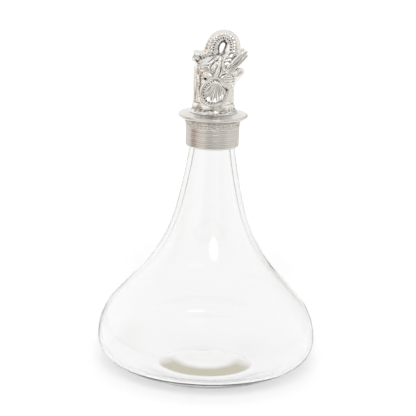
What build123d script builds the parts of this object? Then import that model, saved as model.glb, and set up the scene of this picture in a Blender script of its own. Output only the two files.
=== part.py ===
from build123d import *
import os
from math import atan2, cos, degrees, radians, sin, sqrt

os.makedirs("parts", exist_ok=True)

# Figural liquor decanter. Millimetres, +Z up, origin at the middle of the foot on the table.
# The elephant looks along +X, and its right side faces -Y.

# Bottle: outside curve, from its widest girth up to the straight neck and down to the foot
bottle_radius = 77.4
girth_height = 25.3
shoulder_curve = 41.3
shoulder_run = 23.85
waist_end_angle = 13.8
neck_curve = 400.0
neck_end_angle = 7.4
lip_curve = 40.0
neck_radius = 15.3
neck_straight = 11.5
lip_height = 181.0
heel_curve = 16.6
heel_angle = 56.9
foot_radius = 36.0
foot_width = 3.0

# Bottle: wall, and the base pushed up in its middle
body_wall = 2.5
neck_wall = 3.2
punt_rise = 5.5
base_wall = 3.2
valley_curve = 12.0
dome_angle = 20.0
lip_chamfer = 0.5

# Collar cemented over the neck
cement_gap = 1.3
collar_wall = 1.9
collar_skirt = 16.5
collar_web = 1.95
collar_roll = 1.3
collar_mouth_clearance = 0.5
bead_height = 2.4
bead_swell = 0.45
bead_groove = 0.35
cement_bed = 0.25
cement_recess = 0.6

# Stopper brim
brim_overhang = 6.1
brim_seat_inset = 0.9
brim_edge = 2.0
brim_dish = 1.8
brim_rise = 1.5

# Elephant casting: foot, neck and skull
plinth_radius = 15.2
plinth_height = 7.0
plinth_round = 0.9
plinth_flare = 1.2
plinth_flare_height = 2.2
neck_half_width = 14.7
skull_height = 41.0
solder_flat_share = 1.09
# height up the skull, and forward shift, half length and half breadth against the neck's half width
skull_shares = (
    (0.12, 0.00, 0.98, 0.93),
    (0.34, -0.01, 0.99, 0.87),
    (0.52, 0.01, 1.01, 0.84),
    (0.67, 0.01, 1.01, 0.84),
    (0.80, 0.00, 0.89, 0.78),
    (0.91, 0.05, 0.70, 0.60),
    (0.985, 0.14, 0.40, 0.34),
)

# Elephant casting: upper jaw, lower jaw and eyes
muzzle_length = 19.0
muzzle_angle = 51.0
muzzle_start_share = (0.07, 0.65)
# distance along the muzzle, then half height and half breadth against the neck's half width
muzzle_shares = ((0.00, 0.66, 0.74), (0.40, 0.60, 0.68), (0.75, 0.47, 0.55), (1.00, 0.33, 0.34))
jaw_length = 15.5
jaw_angle = 20.0
jaw_start_share = (0.34, 0.60)
jaw_shares = ((0.00, 0.46, 0.50), (0.50, 0.33, 0.38), (0.88, 0.19, 0.24), (1.00, 0.08, 0.12))
lip_root_share = (0.65, 0.707)
lip_reach = 15.5
lip_angle = 47.0
lip_spread = 6.2
lip_root_radius = 1.9
lip_tip_radius = 1.0
eye_place_share = (-0.07, 0.795)
eye_radius = 1.7
eye_inset_share = 0.62

# Trunk: rises from the muzzle, loops back over the head and lies on the forehead
trunk_root_share = (0.63, 0.805)
trunk_rise_length = 13.9
trunk_rise_angle = 77.0
trunk_loop_curve = 6.9
trunk_loop_angle = 197.0
trunk_curl_curve = 9.0
trunk_curl_angle = 92.0
trunk_run_out = 4.5
trunk_root_radius = 6.6
trunk_tip_radius = 4.2
trunk_top_radius = 3.7
trunk_waist_share = 0.50
trunk_ring_height = 0.38
trunk_ring_count = 18
# along one ring, and how much of the ring's height stands there
trunk_ring_shares = ((0.00, 0), (0.30, 1), (0.70, 1))

# Tusks
tusk_root_share = (0.735, 0.688)
tusk_length = 18.0
tusk_angle = 48.0
tusk_spread = 7.3
tusk_root_radius = 1.35
tusk_tip_radius = 0.7

# Ears
ear_radius = 9.3
ear_place_share = (0.054, 0.383)
ear_stand_share = 0.857
ear_tilt_angle = 6.0
ear_thickness = 2.8
ear_rim = 1.0
ear_web = 1.0
ear_pad_radius = 5.0
ear_pad_depth = 5.0
pleat_count = 7
pleat_fan_angle = 104.0
pleat_height = 0.45
pleat_start = 1.6
pleat_apex_share = 0.78
pleat_width_share = 0.5

# Plug, its seal rings and the screw that holds plug, brim and casting together
plug_length = 12.0
plug_clearance = 1.5
ring_wire = 1.1
ring_sides = 8
ring_clearance = 0.05
ring_drop = 5.0
ring_pitch = 4.0
groove_clearance = 0.15
stud_radius = 2.5
stud_clearance = 0.05
stud_grip = 12.0
stud_overhang = 0.6
washer_radius = 6.0
washer_thickness = 0.8
nut_across_flats = 8.0
nut_height = 4.0
nut_chamfer = 0.4

# Worked out from the sizes above
neck_height = lip_height - neck_straight
bore_radius = neck_radius - neck_wall
punt_radius = foot_radius - foot_width
seat_height = lip_height + cement_bed + collar_web
collar_bottom = seat_height - bead_height - collar_skirt
collar_bore = neck_radius + cement_gap
collar_radius = collar_bore + collar_wall
brim_radius = collar_radius + brim_overhang
brim_seat_radius = collar_radius - brim_seat_inset
rim_height = seat_height + brim_dish
figure_base = rim_height + brim_edge + brim_rise


def finish(piece, label):
    """Labels a piece and writes it to its own file."""
    piece.part.label = label
    export_step(piece.part, f"parts/{label}.step")


def draw_rise(widest, narrowest, shoulder):
    """Draws one wall of the bottle from its girth to the straight neck, and returns its last arc."""
    # End of the waist, worked out down from the neck, seen from the middle of the shoulder's arc
    end_x = narrowest + lip_curve * (1 - cos(neck_end)) + neck_curve * (cos(neck_end) - cos(waist_end))
    end_z = neck_height - lip_curve * sin(neck_end) - neck_curve * (sin(waist_end) - sin(neck_end))
    reach = (end_x - widest + shoulder, end_z - girth_height)
    # The waist's radius makes the straight run between shoulder and waist come out at its own length
    spare = shoulder - reach[0] * cos(waist_end) - reach[1] * sin(waist_end)
    waist = (reach[0] ** 2 + reach[1] ** 2 - shoulder**2 - shoulder_run**2) / (2 * spare)
    turn = atan2(reach[1] + waist * sin(waist_end), reach[0] + waist * cos(waist_end))
    turn = degrees(turn - atan2(shoulder_run, shoulder + waist))
    arc = JernArc(start=(widest, girth_height), tangent=(0, 1), radius=shoulder, arc_size=turn)
    run = Line(arc @ 1, arc @ 1 + (arc % 1) * shoulder_run)
    arc = JernArc(start=run @ 1, tangent=run % 1, radius=waist, arc_size=waist_end_angle - turn)
    arc = JernArc(
        start=arc @ 1, tangent=arc % 1, radius=neck_curve, arc_size=neck_end_angle - waist_end_angle
    )
    return JernArc(start=arc @ 1, tangent=arc % 1, radius=lip_curve, arc_size=-neck_end_angle)


def draw_heel(widest, curve, landing):
    """Draws one wall of the bottle from its girth down to a landing point near the foot."""
    heel = JernArc(start=(widest, girth_height), tangent=(0, -1), radius=curve, arc_size=-heel_angle)
    return TangentArc(heel @ 1, landing, tangent=heel % 1)


# Bottle, one piece of blown glass
waist_end = radians(waist_end_angle)
neck_end = radians(neck_end_angle)
punt_curve = (punt_radius**2 + punt_rise**2) / (2 * punt_rise)
punt_sweep = 2 * degrees(atan2(punt_rise, punt_radius))

with BuildPart() as glass_bottle:
    with BuildSketch(Plane.XZ):
        with BuildLine():
            outer_top = draw_rise(bottle_radius, neck_radius, shoulder_curve)
            outer_foot = draw_heel(bottle_radius, heel_curve, (foot_radius, 0))
            punt = JernArc(start=(0, punt_rise), tangent=(1, 0), radius=punt_curve, arc_size=-punt_sweep)
            Line(outer_foot @ 1, punt @ 1)
            inner_girth = bottle_radius - body_wall
            inner_top = draw_rise(inner_girth, bore_radius, shoulder_curve - body_wall)
            inner_floor = draw_heel(inner_girth, heel_curve - body_wall, (foot_radius, base_wall))
            floor_fall = degrees(atan2(-(inner_floor % 1).Y, -(inner_floor % 1).X))
            valley = JernArc(
                start=inner_floor @ 1,
                tangent=inner_floor % 1,
                radius=valley_curve,
                arc_size=-floor_fall - dome_angle,
            )
            dome_curve = (valley @ 1).X / sin(radians(dome_angle))
            dome = JernArc(start=valley @ 1, tangent=valley % 1, radius=dome_curve, arc_size=dome_angle)
            Line(dome @ 1, (0, punt_rise))
            Polyline(
                outer_top @ 1,
                (neck_radius, lip_height - lip_chamfer),
                (neck_radius - lip_chamfer, lip_height),
                (bore_radius + lip_chamfer, lip_height),
                (bore_radius, lip_height - lip_chamfer),
                inner_top @ 1,
            )
        make_face()
    revolve(axis=Axis.Z)

# The neck's outside as a solid block, to shape the cement against
with BuildPart() as neck_block:
    with BuildSketch(Plane.XZ):
        with BuildLine():
            block_top = draw_rise(bottle_radius, neck_radius, shoulder_curve)
            Polyline(
                block_top @ 1,
                (neck_radius, lip_height - lip_chamfer),
                (neck_radius - lip_chamfer, lip_height),
                (0, lip_height),
                (0, girth_height),
                (bottle_radius, girth_height),
            )
        make_face()
    revolve(axis=Axis.Z)

# Collar: a straight skirt, a rolled lower edge, a web over the glass lip and a bead round its top
collar_mouth = bore_radius + collar_mouth_clearance
web_underside = lip_height + cement_bed
bead_bottom = seat_height - bead_height

with BuildPart() as neck_collar:
    with BuildSketch(Plane.XZ):
        with BuildLine():
            Polyline(
                (collar_radius - bead_groove, bead_bottom),
                (collar_radius, bead_bottom - bead_groove),
                (collar_radius, collar_bottom + collar_roll),
            )
            RadiusArc(
                (collar_radius, collar_bottom + collar_roll),
                (collar_radius - collar_roll, collar_bottom),
                collar_roll,
            )
            Polyline(
                (collar_radius - collar_roll, collar_bottom),
                (collar_bore, collar_bottom),
                (collar_bore, web_underside),
                (collar_mouth, web_underside),
                (collar_mouth, seat_height),
                (collar_radius - bead_groove, seat_height),
            )
            ThreePointArc(
                (collar_radius - bead_groove, seat_height),
                (collar_radius + bead_swell, (seat_height + bead_bottom) / 2),
                (collar_radius - bead_groove, bead_bottom),
            )
        make_face()
    revolve(axis=Axis.Z)

# Cement between collar and glass, with a thin bed over the lip
with BuildPart() as neck_cement:
    with BuildSketch(Plane.XZ):
        with BuildLine():
            Polyline(
                (collar_mouth, web_underside),
                (collar_bore, web_underside),
                (collar_bore, collar_bottom + cement_recess),
                (bore_radius, collar_bottom + cement_recess),
                (bore_radius, lip_height - lip_chamfer),
                (collar_mouth, lip_height - lip_chamfer),
                close=True,
            )
        make_face()
    revolve(axis=Axis.Z)
    add(neck_block.part, mode=Mode.SUBTRACT)

# Brim: a dished disc whose flat underside sits on the collar
stud_hole = stud_radius + stud_clearance
brim_land = plinth_radius * solder_flat_share

with BuildPart() as stopper_brim:
    with BuildSketch(Plane.XZ):
        with BuildLine():
            Line((stud_hole, seat_height), (brim_seat_radius, seat_height))
            underside = TangentArc(
                (brim_seat_radius, seat_height),
                (brim_radius - brim_edge / 2, rim_height),
                tangent=(1, 0),
            )
            rim = ThreePointArc(
                underside @ 1,
                (brim_radius, rim_height + brim_edge / 2),
                (brim_radius - brim_edge / 2, rim_height + brim_edge),
            )
            TangentArc((brim_land, figure_base), rim @ 1, tangent=(1, 0))
            Polyline(
                (brim_land, figure_base),
                (stud_hole, figure_base),
                (stud_hole, seat_height),
            )
        make_face()
    revolve(axis=Axis.Z)


def place(shares, side=0.0):
    """Point of the figure: forward as a share of the neck's half width, up as a share of the skull."""
    return Vector(neck_half_width * shares[0], side, figure_base + skull_height * shares[1])


def heading(angle):
    """Direction in the figure's middle plane, at an angle up from forwards."""
    return Vector(cos(radians(angle)), 0, sin(radians(angle)))


def snout_sections(start, length, angle, shares):
    """Draws the oval sections of a tapering limb of the head along a straight pitched line."""
    sections = []
    for along, high, broad in shares:
        middle = place(start) + heading(angle) * (length * along)
        with BuildSketch(Plane(origin=middle, x_dir=(0, 1, 0), z_dir=heading(angle))) as oval:
            Ellipse(neck_half_width * broad, neck_half_width * high)
        sections.append(oval.sketch)
    return sections


# Trunk: its middle line, then a ruled loft whose sections swell and pinch at every ring
trunk_root = place(trunk_root_share)

with BuildLine() as trunk_line:
    trunk_rise = PolarLine((trunk_root.X, trunk_root.Z), trunk_rise_length, angle=trunk_rise_angle)
    trunk_loop = JernArc(
        start=trunk_rise @ 1,
        tangent=trunk_rise % 1,
        radius=trunk_loop_curve,
        arc_size=trunk_loop_angle,
    )
    trunk_curl = JernArc(
        start=trunk_loop @ 1,
        tangent=trunk_loop % 1,
        radius=trunk_curl_curve,
        arc_size=-trunk_curl_angle,
    )
    Line(trunk_curl @ 1, trunk_curl @ 1 + (trunk_curl % 1) * trunk_run_out)
trunk_wire = trunk_line.wire()


def trunk_radius(share):
    """Radius of the trunk's core: slim at the top of the loop, fuller at root and tip."""
    if share < trunk_waist_share:
        swell = (1 - share / trunk_waist_share) ** 2
        return trunk_top_radius + (trunk_root_radius - trunk_top_radius) * swell
    swell = ((share - trunk_waist_share) / (1 - trunk_waist_share)) ** 2
    return trunk_top_radius + (trunk_tip_radius - trunk_top_radius) * swell


def trunk_section(share, height):
    """Draws one round section of the trunk, square to its middle line."""
    spot = trunk_wire @ share
    way = trunk_wire % share
    square = Plane(origin=(spot.X, 0, spot.Y), x_dir=(0, 1, 0), z_dir=(way.X, 0, way.Y))
    with BuildSketch(square) as section:
        Circle(trunk_radius(share) + height)
    return section.sketch


trunk_sections = []
for ring in range(trunk_ring_count):
    for step, height_share in trunk_ring_shares:
        ring_share = (ring + step) / trunk_ring_count
        trunk_sections.append(trunk_section(ring_share, trunk_ring_height * height_share))
trunk_sections.append(trunk_section(1, 0))

with BuildPart() as trunk_form:
    loft(trunk_sections, ruled=True)

# Elephant casting: plinth, neck and skull, muzzle with its lip folds, lower jaw, eyes and trunk
with BuildPart() as elephant_head:
    for share, forward, long_share, broad_share in skull_shares:
        with BuildSketch(Plane.XY.offset(figure_base + skull_height * share)):
            with Locations((neck_half_width * forward, 0)):
                Ellipse(neck_half_width * long_share, neck_half_width * broad_share)
    loft()
    with BuildSketch(Plane.XZ):
        with BuildLine():
            Polyline(
                (0, figure_base + plinth_height),
                (0, figure_base),
                (plinth_radius + plinth_flare, figure_base),
                (plinth_radius, figure_base + plinth_flare_height),
                (plinth_radius, figure_base + plinth_height - plinth_round),
            )
            RadiusArc(
                (plinth_radius, figure_base + plinth_height - plinth_round),
                (plinth_radius - plinth_round, figure_base + plinth_height),
                -plinth_round,
            )
            Line(
                (plinth_radius - plinth_round, figure_base + plinth_height),
                (0, figure_base + plinth_height),
            )
        make_face()
    revolve(axis=Axis.Z)
    loft(snout_sections(muzzle_start_share, muzzle_length, muzzle_angle, muzzle_shares))
    loft(snout_sections(jaw_start_share, jaw_length, jaw_angle, jaw_shares))
    for side in (-lip_spread, lip_spread):
        for along, fold_radius in ((0, lip_root_radius), (lip_reach, lip_tip_radius)):
            fold = place(lip_root_share, side) + heading(lip_angle) * along
            with BuildSketch(Plane(origin=fold, x_dir=(0, 1, 0), z_dir=heading(lip_angle))):
                Circle(fold_radius)
        loft()
    eye_side = neck_half_width * skull_shares[4][3] - eye_radius * eye_inset_share
    with Locations(place(eye_place_share, -eye_side), place(eye_place_share, eye_side)):
        Sphere(eye_radius)
    add(trunk_form.part)
    with Locations((0, 0, figure_base)):
        Cylinder(
            stud_hole,
            stud_grip + stud_clearance,
            align=(Align.CENTER, Align.CENTER, Align.MIN),
            mode=Mode.SUBTRACT,
        )

# Tusks: the right one leaves the lip fold on -Y, and the left one mirrors it
with BuildPart() as right_tusk:
    for along, tusk_radius in ((0, tusk_root_radius), (tusk_length, tusk_tip_radius)):
        spot = place(tusk_root_share, -tusk_spread) + heading(tusk_angle) * along
        with BuildSketch(Plane(origin=spot, x_dir=(0, 1, 0), z_dir=heading(tusk_angle))):
            Circle(tusk_radius)
    loft()
    with Locations(place(tusk_root_share, -tusk_spread) + heading(tusk_angle) * tusk_length):
        Sphere(tusk_tip_radius)
    add(elephant_head.part, mode=Mode.SUBTRACT)

with BuildPart() as left_tusk:
    mirror(right_tusk.part, about=Plane.XZ)

# Ears: cupped discs with a raised rim, pleats fanning from the top and a pad soldered to the neck
ear_plane = Plane(
    origin=place(ear_place_share, -neck_half_width * ear_stand_share),
    x_dir=(1, 0, 0),
    z_dir=(0, -cos(radians(ear_tilt_angle)), -sin(radians(ear_tilt_angle))),
)
cup_radius = ear_radius - ear_rim
cup_depth = ear_thickness - ear_web
cup_curve = (cup_radius**2 + cup_depth**2) / (2 * cup_depth)
pleat_apex = cup_radius * pleat_apex_share


def pleat_reach(angle):
    """Distance from the pleats' apex to the cup's edge, at an angle from straight down."""
    return pleat_apex * cos(angle) + sqrt(cup_radius**2 - (pleat_apex * sin(angle)) ** 2)


def pleat_point(angle, distance):
    """Point of the ear's plane at a distance from the pleats' apex, at an angle from straight down."""
    return (distance * sin(angle), pleat_apex - distance * cos(angle))


# The pleats are prisms cut back to a sphere that stands one pleat height above the cup
pleat_step = radians(pleat_fan_angle) / (pleat_count - 1)
pleat_half = pleat_step * pleat_width_share / 2

with BuildPart() as ear_pleats:
    with BuildSketch(ear_plane):
        for pleat in range(pleat_count):
            turn = pleat_step * (pleat - (pleat_count - 1) / 2)
            with BuildLine():
                Polyline(
                    pleat_point(turn - pleat_half, pleat_start),
                    pleat_point(turn - pleat_half, pleat_reach(turn - pleat_half)),
                    pleat_point(turn + pleat_half, pleat_reach(turn + pleat_half)),
                    pleat_point(turn + pleat_half, pleat_start),
                    close=True,
                )
            make_face()
    extrude(amount=ear_thickness)
    with Locations(ear_plane.offset(ear_web + cup_curve)):
        Sphere(cup_curve - pleat_height, mode=Mode.SUBTRACT)

ear_profile = Plane(origin=ear_plane.origin, x_dir=ear_plane.x_dir, z_dir=-ear_plane.y_dir)

with BuildPart() as right_ear:
    with BuildSketch(ear_profile):
        with BuildLine():
            Line((0, 0), (ear_radius - ear_rim, 0))
            Line((0, 0), (0, ear_web))
            RadiusArc((0, ear_web), (cup_radius, ear_thickness), -cup_curve)
            ThreePointArc(
                (cup_radius, ear_thickness),
                (ear_radius, ear_thickness - ear_rim),
                (ear_radius - ear_rim, 0),
            )
        make_face()
    revolve(axis=Axis(ear_plane.origin, ear_plane.z_dir))
    add(ear_pleats.part)
    with BuildSketch(ear_plane):
        Circle(ear_pad_radius)
    extrude(amount=-ear_pad_depth)
    add(elephant_head.part, mode=Mode.SUBTRACT)

with BuildPart() as left_ear:
    mirror(right_ear.part, about=Plane.XZ)

# Plug: a turned core that hangs under the brim, with a groove for each seal ring
plug_radius = bore_radius - plug_clearance
ring_outside = bore_radius - ring_clearance
ring_middle = ring_outside - ring_wire
groove_radius = ring_middle - ring_wire
ring_heights = [seat_height - ring_drop - ring_pitch * place_down for place_down in range(2)]
plug_bottom = seat_height - plug_length

with BuildPart() as plug_core:
    with Locations((0, 0, plug_bottom)):
        Cylinder(plug_radius, plug_length, align=(Align.CENTER, Align.CENTER, Align.MIN))
        Cylinder(
            stud_hole,
            plug_length,
            align=(Align.CENTER, Align.CENTER, Align.MIN),
            mode=Mode.SUBTRACT,
        )
    with BuildSketch(Plane.XZ):
        for ring_height in ring_heights:
            with Locations((groove_radius, ring_height)):
                Rectangle(
                    plug_clearance + 2 * ring_wire,
                    2 * (ring_wire + groove_clearance),
                    align=(Align.MIN, Align.CENTER),
                )
    revolve(axis=Axis.Z, mode=Mode.SUBTRACT)

seal_rings = []
for ring_height in ring_heights:
    with BuildPart() as seal_ring:
        with BuildSketch(Plane.XZ):
            with Locations((ring_middle, ring_height)):
                RegularPolygon(ring_wire, ring_sides, major_radius=False, rotation=180 / ring_sides)
        revolve(axis=Axis.Z)
    seal_rings.append(seal_ring)

# Screw, washer and nut that clamp the plug and the brim to the casting
nut_top = plug_bottom - washer_thickness
nut_bottom = nut_top - nut_height
stud_bottom = nut_bottom - stud_overhang

with BuildPart() as plug_washer:
    with BuildSketch(Plane.XY.offset(nut_top)):
        Circle(washer_radius)
        Circle(stud_hole, mode=Mode.SUBTRACT)
    extrude(amount=washer_thickness)

with BuildPart() as plug_nut:
    with BuildSketch(Plane.XY.offset(nut_bottom)):
        RegularPolygon(nut_across_flats / 2, 6, major_radius=False)
        Circle(stud_hole, mode=Mode.SUBTRACT)
    extrude(amount=nut_height)

with BuildPart() as fixing_stud:
    with BuildSketch(Plane.XY.offset(stud_bottom)):
        Circle(stud_radius)
    extrude(amount=figure_base + stud_grip - stud_bottom)
    chamfer(fixing_stud.edges().filter_by(GeomType.CIRCLE), nut_chamfer)

finish(glass_bottle, "glass_bottle")
finish(neck_cement, "neck_cement")
finish(neck_collar, "neck_collar")
finish(stopper_brim, "stopper_brim")
finish(elephant_head, "elephant_head")
finish(right_tusk, "right_tusk")
finish(left_tusk, "left_tusk")
finish(right_ear, "right_ear")
finish(left_ear, "left_ear")
finish(plug_core, "plug_core")
finish(seal_rings[0], "upper_seal_ring")
finish(seal_rings[1], "lower_seal_ring")
finish(plug_washer, "plug_washer")
finish(plug_nut, "plug_nut")
finish(fixing_stud, "fixing_stud")

print(f"neck radius {neck_radius:.2f}, bore radius {bore_radius:.2f}, seat height {seat_height:.2f}")
print(f"figure stands at {figure_base:.2f}, stud ends at {stud_bottom:.2f}, collar at {collar_bottom:.2f}")
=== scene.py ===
"""Figural liquor decanter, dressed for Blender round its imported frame.

A wide blown glass bottle carries a turned pewter collar, and its stopper carries a cast elephant
head whose trunk loops back over the forehead. Sizes are fields in millimetres, meshes are metres.
"""

import logging
import math
from dataclasses import dataclass, field
from enum import Enum

import bmesh
import bpy
import numpy as np
from mathutils import Matrix, Vector, noise


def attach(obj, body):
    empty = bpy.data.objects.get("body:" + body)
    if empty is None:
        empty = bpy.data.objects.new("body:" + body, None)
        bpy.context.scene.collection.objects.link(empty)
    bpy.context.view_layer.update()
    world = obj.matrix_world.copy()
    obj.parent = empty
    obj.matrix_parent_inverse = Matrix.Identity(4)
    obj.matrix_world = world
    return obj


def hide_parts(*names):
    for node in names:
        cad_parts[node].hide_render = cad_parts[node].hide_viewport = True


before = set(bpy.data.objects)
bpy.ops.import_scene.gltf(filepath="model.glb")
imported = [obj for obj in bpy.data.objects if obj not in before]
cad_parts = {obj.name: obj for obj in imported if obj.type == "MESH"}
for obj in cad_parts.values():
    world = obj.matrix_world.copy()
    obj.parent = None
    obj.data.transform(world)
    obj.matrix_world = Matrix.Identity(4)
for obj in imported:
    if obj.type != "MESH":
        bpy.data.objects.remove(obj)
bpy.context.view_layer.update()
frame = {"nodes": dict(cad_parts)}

LOG = logging.getLogger("decanter")
MM = 0.001
PHOTO_WIDTH = 416
# The bottle's base lies within this height and radius and is dressed apart from the walls
BASE_HEIGHT = 12.0
BASE_RADIUS = 40.0
# Heights of the collar's top, where the brim rests, and of the brim's top under the casting
BRIM_SEAT = 183.2
CASTING_FOOT = 188.5
# Distance between the points that a stroke's or stain's line is divided into
LINE_SPACING = 0.4

Pair = tuple[float, float]
Triple = tuple[float, float, float]
Stops = tuple[tuple[float, str], ...]
Shape = bmesh.types.BMesh
Tree = bpy.types.NodeTree


class Side(Enum):
    """Side of the figure; the value is the sign of Y."""

    RIGHT = -1
    LEFT = 1


class Cut(Enum):
    """What a modelling stroke does to the surface; the value is the sign of its height."""

    GROOVE = -1
    RIDGE = 1


def to_linear(colour: str) -> tuple[float, float, float, float]:
    """Turns an sRGB hex colour into a linear one.

    Args:
        colour: The colour as "#RRGGBB".

    Returns:
        Linear red, green and blue, and an alpha of 1.
    """
    parts = [int(colour[place : place + 2], 16) / 255 for place in (1, 3, 5)]
    red, green, blue = (
        part / 12.92 if part <= 0.04045 else ((part + 0.055) / 1.055) ** 2.4 for part in parts
    )
    return red, green, blue, 1.0


def add_node(
    tree: Tree, kind: str, inputs: dict | None = None, **settings: object
) -> bpy.types.Node:
    """Adds a shader node with its settings and its inputs.

    Args:
        tree: Node tree that gets the node.
        kind: Blender's name of the node's type after "ShaderNode".
        inputs: Socket name or number, and the value, hex colour, output socket or node that
            feeds it. A node feeds it with its first enabled output.
        **settings: Properties of the node.

    Returns:
        The new node.
    """
    node = tree.nodes.new(f"ShaderNode{kind}")
    for name, value in settings.items():
        setattr(node, name, value)
    for socket, value in (inputs or {}).items():
        if isinstance(value, bpy.types.Node):
            value = next(output for output in value.outputs if output.enabled)
        if isinstance(value, bpy.types.NodeSocket):
            tree.links.new(value, node.inputs[socket])
        else:
            plain = to_linear(value) if isinstance(value, str) else value
            node.inputs[socket].default_value = plain
    return node


def start_material(name: str) -> tuple[bpy.types.Material, Tree]:
    """Starts an empty node material.

    Args:
        name: Name of the real material.

    Returns:
        The material and its node tree.
    """
    material = bpy.data.materials.new(name)
    material.use_nodes = True
    material.node_tree.nodes.clear()
    return material, material.node_tree


def set_ramp(node: bpy.types.Node, stops: Stops) -> bpy.types.Node:
    """Gives a colour ramp node its stops.

    Args:
        node: The colour ramp node.
        stops: Places from 0 to 1 and sRGB hex colours, in order.

    Returns:
        The same node.
    """
    elements = node.color_ramp.elements
    while len(elements) < len(stops):
        elements.new(1.0)
    for element, (place, colour) in zip(elements, stops):
        element.position = place
        element.color = to_linear(colour)
    return node


def to_data(shape: Shape, name: str) -> bpy.types.Mesh:
    """Turns a bmesh into a mesh.

    Args:
        shape: The bmesh; freed.
        name: Name of the mesh.

    Returns:
        The mesh.
    """
    data = bpy.data.meshes.new(name)
    shape.to_mesh(data)
    shape.free()
    return data


def place_object(name: str, data: bpy.types.ID) -> bpy.types.Object:
    """Puts a mesh, light or camera into the scene.

    Args:
        name: Name of the object.
        data: What it shows.

    Returns:
        The object.
    """
    item = bpy.data.objects.new(name, data)
    bpy.context.scene.collection.objects.link(item)
    return item


def ramp(value: float, width: float) -> float:
    """Rises from 0 to 1 while a value grows from 0 to a width, and stays level on both sides."""
    return min(1.0, max(0.0, value / width))


def lumps(place: Vector, layers: tuple[Pair, ...]) -> float:
    """Sums layers of noise at a place, each with its pitch and its height."""
    return sum(height * noise.noise(place * pitch) for pitch, height in layers)


def on_ring(place: Vector, level: float) -> Vector:
    """Returns the way from the axis to a place, lifted to a level that picks the noise's ring."""
    turn = math.atan2(place.y, place.x)
    return Vector((math.cos(turn), math.sin(turn), level))


def spin_full(shape: Shape, steps: int, merge: float) -> None:
    """Spins all of a bmesh once round the upright axis.

    Args:
        shape: Bmesh that holds the section.
        steps: Number of steps in the full turn.
        merge: Distance under which vertices become one.
    """
    bmesh.ops.spin(
        shape,
        geom=shape.verts[:] + shape.edges[:],
        cent=(0, 0, 0),
        axis=(0, 0, 1),
        angle=math.tau,
        steps=steps,
        use_merge=True,
        use_duplicate=False,
    )
    bmesh.ops.remove_doubles(shape, verts=shape.verts[:], dist=merge)


def extrude_rim(
    shape: Shape, edges: list[bmesh.types.BMEdge]
) -> tuple[list[bmesh.types.BMVert], list[bmesh.types.BMEdge]]:
    """Extrudes open edges in place.

    Args:
        shape: Bmesh that holds them.
        edges: The open edges.

    Returns:
        The new vertices and the new open edges.
    """
    grown = bmesh.ops.extrude_edge_only(shape, edges=edges)["geom"]
    verts = [part for part in grown if isinstance(part, bmesh.types.BMVert)]
    known = set(verts)
    rim = [part for part in grown if isinstance(part, bmesh.types.BMEdge)]
    return verts, [edge for edge in rim if all(end in known for end in edge.verts)]


def smooth_path(points: list[tuple[float, ...]], spacing: float) -> np.ndarray:
    """Runs a smooth curve through points and divides it evenly.

    Args:
        points: Points of the curve; the first three numbers of each are its place.
        spacing: Distance between the curve's stations.

    Returns:
        One row for each station, with as many numbers as the points have.
    """
    knots = np.array(points, float)
    padded = np.vstack([2 * knots[0] - knots[1], knots, 2 * knots[-1] - knots[-2]])
    fine = []
    for start in range(len(knots) - 1):
        before, here, there, after = padded[start : start + 4]
        slope = there - before
        bend = 2 * before - 5 * here + 4 * there - after
        twist = 3 * here - before - 3 * there + after
        for part in np.linspace(0, 1, 40, endpoint=False):
            fine.append(0.5 * (2 * here + slope * part + bend * part**2 + twist * part**3))
    fine = np.array([*fine, knots[-1]])
    steps = np.linalg.norm(np.diff(fine[:, :3], axis=0), axis=1)
    along = np.concatenate([[0], np.cumsum(steps)])
    stations = np.linspace(0, along[-1], int(round(along[-1] / spacing)) + 1)
    return np.stack([np.interp(stations, along, column) for column in fine.T], axis=1)


def smooth_line(line: tuple[Pair, ...], spacing: float) -> np.ndarray:
    """Runs a smooth curve through points in the middle plane, as rows of forward and up."""
    return smooth_path([(ahead, 0.0, up) for ahead, up in line], spacing)[:, [0, 2]]


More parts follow.
